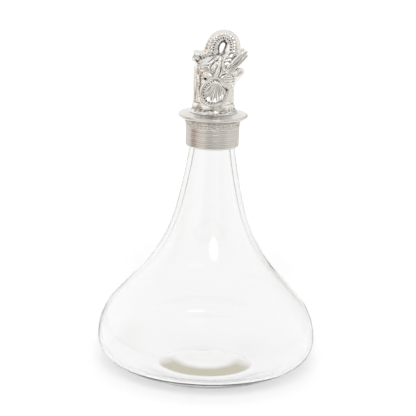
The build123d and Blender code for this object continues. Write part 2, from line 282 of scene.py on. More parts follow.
class Outline:
    """Draws the section of a turned piece in the XZ plane and spins it round the upright axis."""

    def __init__(self) -> None:
        """Starts with nothing drawn."""
        self.mesh = bmesh.new()
        self.tip: bmesh.types.BMVert | None = None
        self.heading = 0.0

    def dot(self, place: Pair) -> bmesh.types.BMVert:
        """Adds a vertex at a radius and height in millimetres."""
        return self.mesh.verts.new((place[0] * MM, 0, place[1] * MM))

    def start(self, place: Pair, heading: float = 0.0) -> bmesh.types.BMVert:
        """Sets the pen down at a new point.

        Args:
            place: Radius and height in millimetres.
            heading: Direction that it looks in, in degrees up from outwards.

        Returns:
            The vertex there.
        """
        self.tip = self.dot(place)
        self.heading = heading
        return self.tip

    def resume(self, vertex: bmesh.types.BMVert, heading: float) -> None:
        """Sets the pen down at a vertex that is already there, looking in a direction."""
        self.tip = vertex
        self.heading = heading

    def place(self) -> Pair:
        """Returns the pen's radius and height in millimetres."""
        return self.tip.co.x / MM, self.tip.co.z / MM

    def lines(self, *places: Pair) -> None:
        """Draws straight runs from point to point and looks along the last one.

        Args:
            *places: Radius and height of each point in millimetres.
        """
        for radius, height in places:
            here = self.place()
            vertex = self.dot((radius, height))
            self.mesh.edges.new((self.tip, vertex))
            self.tip = vertex
            self.heading = math.degrees(math.atan2(height - here[1], radius - here[0]))

    def ahead(self, length: float) -> None:
        """Draws a straight run in the direction that the pen looks in.

        Args:
            length: Its length in millimetres.
        """
        here = self.place()
        way = math.radians(self.heading)
        self.lines((here[0] + length * math.cos(way), here[1] + length * math.sin(way)))

    def arc(self, radius: float, angle: float, steps: int) -> None:
        """Draws an arc that leaves along the pen's direction.

        Args:
            radius: Its radius in millimetres.
            angle: Degrees that it turns, left turns positive.
            steps: Number of edges.
        """
        side = math.copysign(radius, angle)
        way = math.radians(self.heading)
        here = self.place()
        result = bmesh.ops.spin(
            self.mesh,
            geom=[self.tip],
            cent=((here[0] - side * math.sin(way)) * MM, 0, (here[1] + side * math.cos(way)) * MM),
            axis=(0, -1, 0),
            angle=math.radians(angle),
            steps=steps,
            use_duplicate=False,
        )
        self.tip = next(part for part in result["geom_last"] if isinstance(part, bmesh.types.BMVert))
        self.heading += angle

    def arc_to(self, place: Pair, steps: int) -> None:
        """Draws an arc that leaves along the pen's direction and ends at a point.

        Args:
            place: Radius and height of the point in millimetres.
            steps: Number of edges.
        """
        here = self.place()
        way = math.radians(self.heading)
        gap = (place[0] - here[0], place[1] - here[1])
        forward = gap[0] * math.cos(way) + gap[1] * math.sin(way)
        left = -gap[0] * math.sin(way) + gap[1] * math.cos(way)
        radius = (gap[0] ** 2 + gap[1] ** 2) / (2 * abs(left))
        self.arc(radius, math.degrees(2 * math.atan2(left, forward)), steps)

    def join(self, vertex: bmesh.types.BMVert) -> None:
        """Draws a straight run to a vertex that is already there."""
        self.mesh.edges.new((self.tip, vertex))

    def spin(self, steps: int) -> Shape:
        """Spins the section into a closed mesh.

        Args:
            steps: Number of steps in the full turn.

        Returns:
            The mesh, with its doubles merged and its faces pointing outwards.
        """
        merge = 1e-7
        bmesh.ops.remove_doubles(self.mesh, verts=self.mesh.verts[:], dist=merge)
        spin_full(self.mesh, steps, merge)
        bmesh.ops.recalc_face_normals(self.mesh, faces=self.mesh.faces[:])
        return self.mesh


@dataclass(frozen=True)
class Finish:
    """The finish of a real material, built once as a node material.

    Attributes:
        name: Material name.
    """

    name: str

    def material(self) -> bpy.types.Material:
        """Builds the node material when it is first asked for.

        Returns:
            The material.
        """
        material = bpy.data.materials.get(self.name)
        if material is None:
            material, tree = start_material(self.name)
            add_node(tree, "OutputMaterial", {"Surface": self.surface(tree)})
        return material

    def surface(self, tree: Tree) -> bpy.types.Node:
        """Adds the nodes of the surface.

        Args:
            tree: The material's node tree.

        Returns:
            The node of the finished shader.
        """
        raise NotImplementedError(self.name)


@dataclass(frozen=True)
class PewterFinish(Finish):
    """Lead-free pewter: a soft grey metal that takes a warm, slightly blurred shine.

    Attributes:
        bright: Colour of the metal.
        roughness: Least and greatest roughness.
        grain: Size of the surface's unevenness in millimetres.
        relief: Height of that unevenness in millimetres.
        tarnish: Colour that stays in hollows, and of the shade painted along creases, where the mesh
            has a patina attribute for them.
        turned: Distance between turned lines in millimetres, or 0 for none.
        streak: Length of the turned lines' unevenness in millimetres.
        cloudy: How much the clouds of tarnish change the tone.
    """

    bright: str
    roughness: Pair
    grain: float
    relief: float
    tarnish: str = ""
    turned: float = 0.0
    streak: float = 50.0
    cloudy: float = 0.35

    def surface(self, tree: Tree) -> bpy.types.Node:
        """Adds the metal's nodes.

        Args:
            tree: The material's node tree.

        Returns:
            The node of the finished shader.
        """
        place = add_node(tree, "TexCoord").outputs["Object"]
        # Handling and casting leave soft clouds of tarnish a few grains wide
        scale = 1 / (4 * self.grain * MM)
        clouds = add_node(
            tree, "TexNoise", {"Vector": place, "Scale": scale, "Detail": 4.0, "Roughness": 0.6}
        )
        if self.tarnish:
            # The mesh's attribute holds tarnish in its hollows and painted shade along creases
            hollow = add_node(tree, "Attribute", attribute_name="patina_and_shade").outputs["Fac"]
            mottle = add_node(tree, "Math", {0: clouds, 1: 0.5}, operation="SUBTRACT")
            parts = {0: mottle, 1: self.cloudy, 2: hollow}
            tone = add_node(tree, "Math", parts, operation="MULTIPLY_ADD")
            stops = ((self.cloudy, self.bright), (1.0, self.tarnish))
            colour = set_ramp(add_node(tree, "ValToRGB", {"Fac": tone}), stops)
        else:
            span = {"From Min": 0.3, "From Max": 0.75, "To Max": self.cloudy}
            tone = add_node(tree, "MapRange", {"Value": clouds, **span})
            colour = self.bright
        least, most = self.roughness
        rough = add_node(tree, "MapRange", {"Value": tone, "To Min": least, "To Max": most})
        if self.turned:
            # Turning leaves rings of uneven depth, so the noise is squeezed along the axis only
            along, across = 1 / (self.streak * MM), 1 / (self.turned * MM)
            squeeze = (along, along, across)
            place = add_node(tree, "Mapping", {"Vector": place, "Scale": squeeze})
            grains = add_node(tree, "TexNoise", {"Vector": place, "Scale": 1.0, "Detail": 2.0})
        else:
            scale = 1 / (self.grain * MM)
            grains = add_node(tree, "TexNoise", {"Vector": place, "Scale": scale, "Detail": 3.0})
        bump = add_node(tree, "Bump", {"Height": grains, "Distance": self.relief * MM})
        return add_node(
            tree,
            "BsdfPrincipled",
            {"Base Color": colour, "Metallic": 1.0, "Roughness": rough, "Normal": bump},
        )


@dataclass(frozen=True)
class GlassFinish(Finish):
    """Clear blown glass: soda-lime, fire-polished, with thin grey lines of painted shade where a wall
    is seen edge on.

    Attributes:
        name: Material name.
        clear: Colour seen straight through a wall.
        outer_edge_shade: Painted shade on the outside where it is seen edge on.
        inner_edge_shade: Darker painted shade on the inside where it is seen edge on.
        line: Twice the width in millimetres that is fully drawn along an edge.
        fade: Times that width over which the line fades out.
        lines_from: Heights between which the inside's line fades in, in millimetres.
        least_line: How much of the inside's line is left under them.
        pale_to: Heights between which the body's paler edges end, in millimetres.
        paleness: How much paler they are.
        base_painted_shade: Painted shade on the base, in place of the shaded floor seen through it
            where the eye meets it steeply enough.
        base_shade_ring: Where the base shows it, as shares of its radius.
        base_shade_slope: Cosines between which the eye begins to see it.
        shade: Light that passes a wall, from one met square on to one met along it.
        heel: Heights between which the base's shade ends, in millimetres.
        heel_light: Share of the light that passes the lowest part.
    """

    name: str = "blown soda glass"
    clear: str = "#FCFCFC"
    outer_edge_shade: str = "#E6E8E7"
    inner_edge_shade: str = "#4C4E4D"
    line: float = 0.7
    fade: float = 2.4
    lines_from: Pair = (70.0, 135.0)
    least_line: float = 0.05
    pale_to: Pair = (60.0, 110.0)
    paleness: float = 0.7
    base_painted_shade: str = "#9C9373"
    base_shade_ring: Stops = ((0.46, "#000000"), (0.6, "#FFFFFF"), (0.82, "#FFFFFF"), (0.86, "#000000"))
    base_shade_slope: Pair = (0.24, 0.44)
    shade: Stops = ((0.0, "#FAFAFA"), (0.6, "#F5F5F5"), (0.9, "#D0D0D0"), (1.0, "#686868"))
    heel: Pair = (1.0, 16.0)
    heel_light: float = 0.9

    def surface(self, tree: Tree) -> bpy.types.Node:
        """Adds the nodes of the glass.

        Args:
            tree: The material's node tree.

        Returns:
            The node of the finished shader.
        """
        place = add_node(tree, "TexCoord").outputs["Object"]
        height = add_node(tree, "SeparateXYZ", {0: place}).outputs["Z"]
        flat = add_node(tree, "VectorMath", {0: place, 1: (1.0, 1.0, 0.0)}, operation="MULTIPLY")
        radius = add_node(tree, "VectorMath", {0: flat}, operation="LENGTH")
        facing = add_node(tree, "LayerWeight", {"Blend": 0.5}).outputs["Facing"]
        towards = add_node(tree, "Math", {0: 1.0, 1: facing}, operation="SUBTRACT")
        path = add_node(tree, "LightPath").outputs
        # Painted shade: a grey line is painted along each wall seen edge on, in place of the dark room
        # that the edges refract
        # A wall of radius r seen at an angle with cosine c lies r * c * c / 2 inside its outline
        square = add_node(tree, "Math", {0: towards, 1: 2.0}, operation="POWER")
        inset = add_node(tree, "Math", {0: square, 1: radius}, operation="MULTIPLY")
        line = self.line * MM
        open_wall = add_node(
            tree, "MapRange", {"Value": inset, "From Min": line, "From Max": self.fade * line}
        )
        inside = add_node(tree, "Attribute", attribute_name="inside").outputs["Fac"]
        low, high = (level * MM for level in self.lines_from)
        span = {"From Min": low, "From Max": high, "To Min": self.least_line}
        upper = add_node(tree, "MapRange", {"Value": height, **span})
        dark_edge = add_node(tree, "Math", {0: upper, 1: inside}, operation="MULTIPLY")
        tones = {"Factor": dark_edge, "A": self.outer_edge_shade, "B": self.inner_edge_shade}
        edge = add_node(tree, "Mix", tones, data_type="RGBA")
        bottom = add_node(tree, "Math", {0: height, 1: BASE_HEIGHT * MM}, operation="LESS_THAN")
        near = add_node(tree, "Math", {0: radius, 1: BASE_RADIUS * MM}, operation="LESS_THAN")
        base = add_node(tree, "Math", {0: bottom, 1: near}, operation="MULTIPLY")
        # The painted edge shade is paler on the body, which is blown thinner than the neck
        low, high = (level * MM for level in self.pale_to)
        span = {"From Min": low, "From Max": high, "To Min": self.paleness, "To Max": 0.0}
        pale = add_node(tree, "MapRange", {"Value": height, **span})
        plain = open_wall
        for other in (base, pale):
            plain = add_node(tree, "Math", {0: plain, 1: other}, operation="MAXIMUM")
        tones = {"Factor": plain, "A": edge, "B": self.clear}
        wall = add_node(tree, "Mix", tones, data_type="RGBA")
        # Painted shade: the dome of the base is painted olive on the side that slopes to the eye, in
        # place of the shaded floor seen through it
        out = add_node(tree, "MapRange", {"Value": radius, "From Max": BASE_RADIUS * MM})
        share = set_ramp(add_node(tree, "ValToRGB", {"Fac": out}), self.base_shade_ring)
        start, full = self.base_shade_slope
        steep = add_node(tree, "MapRange", {"Value": towards, "From Min": start, "From Max": full})
        dome = add_node(tree, "Attribute", attribute_name="dome").outputs["Fac"]
        mirrored = path["Is Reflection Ray"]
        direct = add_node(tree, "Math", {0: 1.0, 1: mirrored}, operation="SUBTRACT")
        for factor in (steep, dome, direct):
            share = add_node(tree, "Math", {0: share, 1: factor}, operation="MULTIPLY")
        tones = {"Factor": share, "A": wall, "B": self.base_painted_shade}
        colour = add_node(tree, "Mix", tones, data_type="RGBA")
        glass = add_node(
            tree,
            "BsdfPrincipled",
            {"Base Color": colour, "Roughness": 0.0, "IOR": 1.5, "Transmission Weight": 1.0},
        )
        # Light reaches the floor and the metal through the walls, as it does through real glass,
        # and less of it where a wall stands along its path or is as thick as the base
        shade = set_ramp(add_node(tree, "ValToRGB", {"Fac": facing}), self.shade)
        low, high = (level * MM for level in self.heel)
        span = {"From Min": low, "From Max": high, "To Min": self.heel_light}
        heel = add_node(tree, "MapRange", {"Value": height, **span})
        shaded = add_node(tree, "VectorMath", {0: shade, "Scale": heel}, operation="SCALE")
        passed = add_node(tree, "BsdfTransparent", {"Color": shaded})
        rays = {0: path["Is Shadow Ray"], 1: path["Is Diffuse Ray"]}
        lighting = add_node(tree, "Math", rays, operation="MAXIMUM")
        return add_node(tree, "MixShader", {0: lighting, 1: glass, 2: passed})


@dataclass(frozen=True)
class PlainFinish(Finish):
    """A plain fitting material with slight mottling of its colour.

    Attributes:
        pale: Lighter colour.
        deep: Darker colour.
        roughness: Surface roughness.
        grain: Size of the mottling in millimetres.
        relief: Height of the surface's unevenness in millimetres.
        metallic: 1 for a metal, 0 for anything else.
    """

    pale: str
    deep: str
    roughness: float
    grain: float
    relief: float
    metallic: float = 0.0

    def surface(self, tree: Tree) -> bpy.types.Node:
        """Adds the nodes of the plain surface.

        Args:
            tree: The material's node tree.

        Returns:
            The node of the finished shader.
        """
        place = add_node(tree, "TexCoord").outputs["Object"]
        scale = 1 / (self.grain * MM)
        mottle = add_node(
            tree, "TexNoise", {"Vector": place, "Scale": scale, "Detail": 5.0, "Roughness": 0.6}
        )
        stops = ((0.3, self.pale), (0.75, self.deep))
        looks = {
            "Base Color": set_ramp(add_node(tree, "ValToRGB", {"Fac": mottle}), stops),
            "Roughness": self.roughness,
            "Metallic": self.metallic,
            "Normal": add_node(tree, "Bump", {"Height": mottle, "Distance": self.relief * MM}),
        }
        return add_node(tree, "BsdfPrincipled", looks)


# Poured into a mould: bright where hands rub it, near black where no cloth reaches, and as dark where
# shade is painted into its creases
CAST_PEWTER = PewterFinish(
    "cast pewter", "#F1EFEC", (0.15, 0.4), grain=0.8, relief=0.06, tarnish="#3A342E"
)
# Turned on a lathe, so fine rings catch the light in streaks
TURNED_PEWTER = PewterFinish(
    "turned pewter", "#D8D4CF", (0.2, 0.34), grain=1.2, relief=0.07, turned=0.35
)
# Buffed with a mop: an even, soft shine
BUFFED_PEWTER = PewterFinish("buffed pewter", "#E0DDD9", (0.24, 0.36), grain=1.6, relief=0.04)
# Matt and slightly pitted
SET_CEMENT = PlainFinish("set cement", "#DDDAD0", "#C2BDB0", 0.85, grain=1.5, relief=0.1)
# Milky, with a faint shine
TURNED_NYLON = PlainFinish("turned nylon", "#DAD7CC", "#CFCBBE", 0.4, grain=3.0, relief=0.02)
# Soft and evenly dull
MOULDED_SILICONE = PlainFinish("moulded silicone", "#D6D6D2", "#C9C9C4", 0.5, grain=2.0, relief=0.01)
# Hard and bright, with drawing marks too fine to see one by one
DRAWN_STAINLESS = PlainFinish(
    "drawn stainless steel", "#B5B5B6", "#A2A2A4", 0.3, grain=0.8, relief=0.01, metallic=1.0
)


def publish(
    mesh: Shape | bpy.types.Mesh, name: str, body: str, node: str, finish: Finish
) -> None:
    """Turns a finished mesh into a piece of the decanter.

    Args:
        mesh: The piece's mesh, in place; a bmesh is freed.
        name: Name of the piece.
        body: CAD body that it rides on.
        node: CAD node that it stands for.
        finish: Its finish.
    """
    data = mesh if isinstance(mesh, bpy.types.Mesh) else to_data(mesh, name)
    data.name = name
    data.materials.clear()
    data.materials.append(finish.material())
    data.shade_smooth()
    piece = place_object(name, data)
    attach(piece, body)
    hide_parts(node)
    data.calc_loop_triangles()
    LOG.info("%s: %d triangles in %s", name, len(data.loop_triangles), finish.name)


@dataclass
class Bottle:
    """The blown bottle: one closed wall from its domed base to its lip.

    Attributes:
        girth_radius: Outside radius at the widest place.
        girth_height: Height of the widest place.
        wall: Wall thickness in the body.
        shoulder: Radius of the shoulder's arc.
        shoulder_run: Straight run between shoulder and waist.
        waist_slope: Slope from upright where the waist ends, in degrees.
        neck_curve: Radius of the neck's long arc.
        neck_slope: Slope from upright where that arc ends, in degrees.
        lip_curve: Radius of the arc that brings the neck upright.
        neck_radius: Outside radius of the straight neck.
        neck_wall: Wall thickness in the neck.
        neck_height: Height where the neck runs straight.
        lip_height: Height of the lip.
        lip_round: Radius of the lip's fire-polished edges.
        heel_curve: Radius of the heel's arc.
        heel_turn: Degrees that the heel's arc turns.
        foot: Outside and inside radius of the ring that it stands on.
        punt_rise: Height of the base's hollow.
        base_wall: Thickness of the base over the foot ring.
        valley: Radius of the inside's turn from heel to dome.
        dome_slope: Slope of the inside dome's edge, in degrees.
        wobble: Unevenness of the outside wall, as blowing leaves it.
        waves: Pitch in waves per metre and share of each layer of that unevenness.
        even_top: Length of even wall under the straight neck.
        steps: Steps round the axis.
    """

    girth_radius: float = 77.4
    girth_height: float = 25.3
    wall: float = 2.5
    shoulder: float = 41.3
    shoulder_run: float = 23.85
    waist_slope: float = 13.8
    neck_curve: float = 400.0
    neck_slope: float = 7.4
    lip_curve: float = 40.0
    neck_radius: float = 15.3
    neck_wall: float = 3.2
    neck_height: float = 169.5
    lip_height: float = 181.0
    lip_round: float = 1.2
    heel_curve: float = 16.6
    heel_turn: float = 56.9
    foot: Pair = (36.0, 33.0)
    punt_rise: float = 5.5
    base_wall: float = 3.2
    valley: float = 12.0
    dome_slope: float = 20.0
    wobble: float = 0.1
    waves: tuple[Pair, ...] = ((26.0, 1.0), (60.0, 0.5))
    even_top: float = 8.0
    steps: int = 192

    def rise(self, pen: Outline, inset: float, narrowest: float) -> None:
        """Draws one wall from the girth up to the straight neck.

        Args:
            pen: Outline, with its tip at the girth and looking up.
            inset: Distance of this wall inside the outer one.
            narrowest: Radius at the straight neck.
        """
        shoulder = self.shoulder - inset
        waist_end = math.radians(self.waist_slope)
        neck_end = math.radians(self.neck_slope)
        end = (
            narrowest
            + self.lip_curve * (1 - math.cos(neck_end))
            + self.neck_curve * (math.cos(neck_end) - math.cos(waist_end)),
            self.neck_height
            - self.lip_curve * math.sin(neck_end)
            - self.neck_curve * (math.sin(waist_end) - math.sin(neck_end)),
        )
        # The waist's arc is the one that touches both the shoulder's run and the neck's arc
        reach = (end[0] - self.girth_radius + inset + shoulder, end[1] - self.girth_height)
        spare = shoulder - reach[0] * math.cos(waist_end) - reach[1] * math.sin(waist_end)
        spread = reach[0] ** 2 + reach[1] ** 2 - shoulder**2 - self.shoulder_run**2
        waist = spread / (2 * spare)
        up = reach[1] + waist * math.sin(waist_end)
        out = reach[0] + waist * math.cos(waist_end)
        turn = math.degrees(math.atan2(up, out) - math.atan2(self.shoulder_run, shoulder + waist))
        pen.arc(shoulder, turn, steps=22)
        parts = 6
        for _ in range(parts):
            pen.ahead(self.shoulder_run / parts)
        pen.arc(waist, self.waist_slope - turn, steps=26)
        pen.arc(self.neck_curve, self.neck_slope - self.waist_slope, steps=14)
        pen.arc(self.lip_curve, -self.neck_slope, steps=4)

    def draw(self) -> Shape:
        """Draws the outer and the inner wall as one closed section and spins it.

        Returns:
            The bottle's mesh.
        """
        pen = Outline()
        girth = pen.start((self.girth_radius, self.girth_height), 90)
        self.rise(pen, 0, self.neck_radius)
        pen.lines((self.neck_radius, self.lip_height - self.lip_round))
        pen.arc(self.lip_round, 90, steps=5)
        pen.ahead(self.neck_wall - 2 * self.lip_round)
        pen.arc(self.lip_round, 90, steps=5)
        lip = pen.tip
        pen.resume(girth, -90)
        pen.arc(self.heel_curve, -self.heel_turn, steps=14)
        outer_foot, inner_foot = self.foot
        pen.arc_to((outer_foot, 0), steps=12)
        pen.lines((inner_foot, 0))
        pen.heading = 180 - math.degrees(2 * math.atan2(self.punt_rise, inner_foot))
        pen.arc_to((0, self.punt_rise), steps=14)
        inner_girth = pen.start((self.girth_radius - self.wall, self.girth_height), 90)
        self.rise(pen, self.wall, self.neck_radius - self.neck_wall)
        pen.join(lip)
        pen.resume(inner_girth, -90)
        pen.arc(self.heel_curve - self.wall, -self.heel_turn, steps=14)
        pen.arc_to((outer_foot, self.base_wall), steps=12)
        pen.arc(self.valley, 180 - self.dome_slope - pen.heading % 360, steps=8)
        dome = pen.place()[0] / math.sin(math.radians(self.dome_slope))
        pen.arc(dome, self.dome_slope, steps=14)
        return pen.spin(self.steps)

    def build(self) -> None:
        """Spins the walls, marks inside and dome, gives the outside its wobble and dresses it."""
        mesh = self.draw()
        mesh.normal_update()
        inside_mark = mesh.verts.layers.float.new("inside")
        dome_mark = mesh.verts.layers.float.new("dome")
        # Slopes of the skin that tell the floor inside, the underside and the sides apart
        level, undercut, sideways = 0.9, -0.7, 0.2
        for vertex in mesh.verts:
            bottom = vertex.co.z < BASE_HEIGHT * MM and vertex.normal.z > level
            outwards = vertex.co.x * vertex.normal.x + vertex.co.y * vertex.normal.y
            over_base = vertex.normal.z > undercut and vertex.co.z > self.base_wall * MM
            vertex[inside_mark] = float(bottom or (outwards < 0 and over_base))
            vertex[dome_mark] = float(bottom and outwards >= 0)
            under_neck = vertex.co.z < (self.neck_height - self.even_top) * MM
            if under_neck and outwards > sideways * vertex.co.xy.length:
                amount = lumps(vertex.co, self.waves)
                vertex.co += vertex.normal * (self.wobble * MM * amount)
        publish(
            mesh, "bottle_glass", "bottle", "glass_bottle", GlassFinish()
        )


@dataclass
class Collar:
    """The turned collar cemented over the neck, with fine lines round it and a bead on top.

    Attributes:
        seat: Height of its top face, where the brim rests.
        radius: Outside radius of the skirt.
        bore: Inside radius of the skirt.
        mouth: Radius of the hole in its web.
        mouth_edge: Width of the bevel round that hole.
        skirt: Height of the skirt under the bead.
        web: Thickness of the web over the glass lip.
        bead: Height of the bead.
        bead_step: How far the bead's foot is set in.
        bead_slope: Degrees up from outwards at which the bead leaves its foot.
        roll: Rounding of the lower edge.
        line_pitch: Distance between turned lines.
        line_depth: Depth of the lines.
        line_cut: Section of one line, as shares of its pitch and its depth.
        line_drift: How much the lines' depth changes, and how fast from line to line.
        plain: Height without lines under the bead.
        dents: Pitch round the collar and height of its dents.
        pressed: Height of the lumpy band under the bead.
        bead_lumps: Pitch and height of the lumps that pressing the bead on by hand left.
        bead_wave: Pitch and height of the bead's waves.
        steps: Steps round the axis.
    """

    seat: float = BRIM_SEAT
    radius: float = 18.5
    bore: float = 16.6
    mouth: float = 12.6
    mouth_edge: float = 0.4
    skirt: float = 16.5
    web: float = 1.95
    bead: float = 2.4
    bead_step: float = 0.35
    bead_slope: float = 20.0
    roll: float = 1.3
    line_pitch: float = 1.42
    line_depth: float = 0.17
    line_cut: tuple[Pair, ...] = (
        (0.18, 0.0), (0.3, 0.35), (0.42, 0.0), (0.66, 0.1), (0.84, 1.0), (1.0, 0.0)
    )
    line_drift: Pair = (0.5, 2.4)
    plain: float = 0.6
    dents: Pair = (4.2, 0.07)
    pressed: float = 2.0
    bead_lumps: tuple[Pair, ...] = ((11.0, 0.75), (26.0, 0.5))
    bead_wave: Pair = (17.0, 0.4)
    steps: int = 240

    def draw(self) -> Shape:
        """Draws the section with its turned lines and spins it.

        Returns:
            The collar's mesh.
        """
        pen = Outline()
        foot = self.seat - self.bead - self.skirt
        bead_foot = self.seat - self.bead
        first = pen.start((self.bore, foot))
        pen.lines((self.radius - self.roll, foot))
        pen.heading = 0
        pen.arc(self.roll, 90, steps=6)
        drift, speed = self.line_drift
        lines = int((bead_foot - self.plain - foot - self.roll) / self.line_pitch)
        for turned in range(lines):
            low = foot + self.roll + turned * self.line_pitch
            deep = self.line_depth * (1 + drift * math.sin(turned * speed))
            for share, cut in self.line_cut:
                pen.lines((self.radius - deep * cut, low + self.line_pitch * share))
        step_in = self.radius - self.bead_step
        pen.lines((self.radius, bead_foot - self.bead_step), (step_in, bead_foot))
        pen.heading = self.bead_slope
        pen.arc_to((step_in, self.seat), steps=10)
        pen.lines(
            (self.mouth + self.mouth_edge, self.seat),
            (self.mouth, self.seat - self.mouth_edge),
            (self.mouth, self.seat - self.web),
            (self.bore, self.seat - self.web),
        )
        pen.join(first)
        return pen.spin(self.steps)

    def build(self) -> None:
        """Turns the collar, dents it, makes its bead lumpy and dresses it."""
        mesh = self.draw()
        bead_foot = self.seat - self.bead
        # Depth of the outer skin that is dented, and reach round the edges of the bead
        skin, slack, ring_level = 0.9, 0.2, 0.3
        top = (self.seat - slack / 2) * MM
        for vertex in mesh.verts:
            flat = math.hypot(vertex.co.x, vertex.co.y)
            if flat < (self.radius - skin) * MM:
                continue
            ring = on_ring(vertex.co, ring_level)
            dent = lumps(ring, (self.dents,))
            if (bead_foot - self.pressed) * MM < vertex.co.z < top:
                # The bead was pressed on by hand, so it and the skirt's top are lumpy
                spot = Vector((ring.x, ring.y, vertex.co.z / (self.radius * MM)))
                dent += lumps(spot, self.bead_lumps)
            if (bead_foot - slack) * MM < vertex.co.z < top:
                vertex.co.z += MM * lumps(ring, (self.bead_wave,))
            vertex.co.x *= 1 + dent * MM / flat
            vertex.co.y *= 1 + dent * MM / flat
        publish(
            mesh, "collar_turned", "bottle", "neck_collar", TURNED_PEWTER
        )


@dataclass
class Brim:
    """The dished disc that the casting is soldered to.

    Attributes:
        seat: Height of its flat underside.
        seat_radius: Radius of that flat.
        radius: Outside radius.
        edge: Thickness at the edge.
        dish: Height of the underside's edge over the seat.
        rise: Height of the land for the casting over the edge.
        top_slope: Slope of the top at the edge, in degrees.
        land: Radius of that land.
        hole: Radius of the hole for the screw.
        wave: Pitch round the brim and height of its rim's unevenness.
        steps: Steps round the axis.
    """

    seat: float = BRIM_SEAT
    seat_radius: float = 17.6
    radius: float = 24.6
    edge: float = 2.0
    dish: float = 1.8
    rise: float = 1.5
    top_slope: float = 8.0
    land: float = 16.5
    hole: float = 2.55
    wave: Pair = (2.6, 0.22)
    steps: int = 192

    def build(self) -> None:
        """Draws the section, spins it, makes its rim slightly uneven and dresses it."""
        pen = Outline()
        rim = self.seat + self.dish
        top = rim + self.edge + self.rise
        inner_rim = self.radius - self.edge / 2
        first = pen.start((self.hole, self.seat))
        pen.lines((self.seat_radius, self.seat))
        pen.arc_to((inner_rim, rim), steps=10)
        pen.arc_to((inner_rim, rim + self.edge), steps=12)
        pen.heading = 180 - self.top_slope
        pen.arc_to((self.land, top), steps=12)
        pen.lines((self.hole, top))
        pen.join(first)
        mesh = pen.spin(self.steps)
        ring_level, seat_slack = 1.7, 0.3
        for vertex in mesh.verts:
            flat = math.hypot(vertex.co.x, vertex.co.y)
            share = max(0.0, (flat / MM - self.land) / (self.radius - self.land))
            if vertex.co.z > (self.seat + seat_slack) * MM:
                wave = lumps(on_ring(vertex.co, ring_level), (self.wave,))
                vertex.co.z += MM * wave * share
        publish(
            mesh, "brim_buffed", "stopper", "stopper_brim", BUFFED_PEWTER
        )


@dataclass(frozen=True)
class Oval:
    """One section of a limb: its middle, the way that it faces and its half sizes.

    Attributes:
        middle: Forward, sideways and up, in millimetres from the middle of the casting's foot.
        facing: Degrees up from forwards.
        across: Half width along Y.
        high: Half size in the middle plane.
    """

    middle: Triple
    facing: float
    across: float
    high: float

    def matrix(self, base: float) -> Matrix:
        """Works out the placing of a unit circle that gives this section.

        Args:
            base: Height that the section is measured from.

        Returns:
            The placing.
        """
        way = math.radians(self.facing)
        facing = Vector((math.cos(way), 0, math.sin(way)))
        across = Vector((0, 1, 0))
        turn = Matrix((across, facing.cross(across), facing)).transposed().to_4x4()
        place = Vector(self.middle) + Vector((0, 0, base))
        size = Matrix.Diagonal((self.across * MM, self.high * MM, MM, 1))
        return Matrix.Translation(place * MM) @ turn @ size


def loft(
    mesh: Shape, ovals: list[Oval], base: float, segments: int
) -> list[list[bmesh.types.BMVert]]:
    """Extrudes a closed limb from section to section.

    Args:
        mesh: Mesh that gets the limb.
        ovals: Its sections, in order.
        base: Height that the sections are measured from.
        segments: Edges round each section.

    Returns:
        The vertices of each section.
    """
    placing = ovals[0].matrix(base)
    ring = bmesh.ops.create_circle(
        mesh, cap_ends=True, segments=segments, radius=1.0, matrix=placing
    )["verts"]
    edges = list({edge for vertex in ring for edge in vertex.link_edges})
    rings = [ring]
    for oval in ovals[1:]:
        ring, edges = extrude_rim(mesh, edges)
        following = oval.matrix(base)
        bmesh.ops.transform(mesh, matrix=following @ placing.inverted(), verts=ring)
        placing = following
        rings.append(ring)
    bmesh.ops.contextual_create(mesh, geom=edges)
    return rings


def along_line(stations: np.ndarray, flatness: float) -> tuple[list[Oval], np.ndarray]:
    """Lays sections square to a curve in a plane of the figure.

    Args:
        stations: Forward, sideways, up and radius at each station.
        flatness: Width of the sections as a share of their height.

    Returns:
        The sections, and the curve's direction at each as forward and up.
    """
    ways = np.gradient(stations[:, [0, 2]], axis=0)
    ovals = [
        Oval((x, y, z), math.degrees(math.atan2(way[1], way[0])), radius * flatness, radius)
        for (x, y, z, radius), way in zip(stations, ways)
    ]
    return ovals, ways


@dataclass(frozen=True)
class Stroke:
    """A groove or fold worked into both sides of the casting.

    Attributes:
        cut: Groove or ridge.
        width: Half width in millimetres.
        height: Height or depth in millimetres.
        line: Points, forward and up, in millimetres from the middle of the casting's foot.
        least_y: The stroke only reaches the surface further than this from the middle plane.
    """

    cut: Cut
    width: float
    height: float
    line: tuple[Pair, ...]
    least_y: float = 1.5


@dataclass(frozen=True)
class Dimple:
    """A round bump or pit worked into both sides of the casting.

    Attributes:
        cut: Pit for a groove, bump for a ridge.
        middle: Forward and up, in millimetres from the middle of the casting's foot.
        radius: Half width in millimetres.
        height: Height or depth in millimetres.
        least_y: It only reaches the surface further than this from the middle plane.
    """

    cut: Cut
    middle: Pair
    radius: float
    height: float
    least_y: float = 1.5


@dataclass(frozen=True)
class ShadeLine:
    """A line along which the casting is painted darker: painted shade in a crease, slit or hollow.

    Attributes:
        width: Half width in millimetres.
        amount: How much darker it is, from 0 to 1.
        line: Points, forward and up, in millimetres from the middle of the casting's foot.
    """

    width: float
    amount: float
    line: tuple[Pair, ...]


@dataclass(frozen=True)
class Hollow:
    """A size of hollow that keeps tarnish.

    Attributes:
        rounds: How often the surface is softened to find such hollows.
        share: How far each time.
        full: Depth in millimetres that is fully dark.
        least: Tone of the high places between them.
        weight: How much this size counts.
    """

    rounds: int
    share: float
    full: float
    least: float
    weight: float


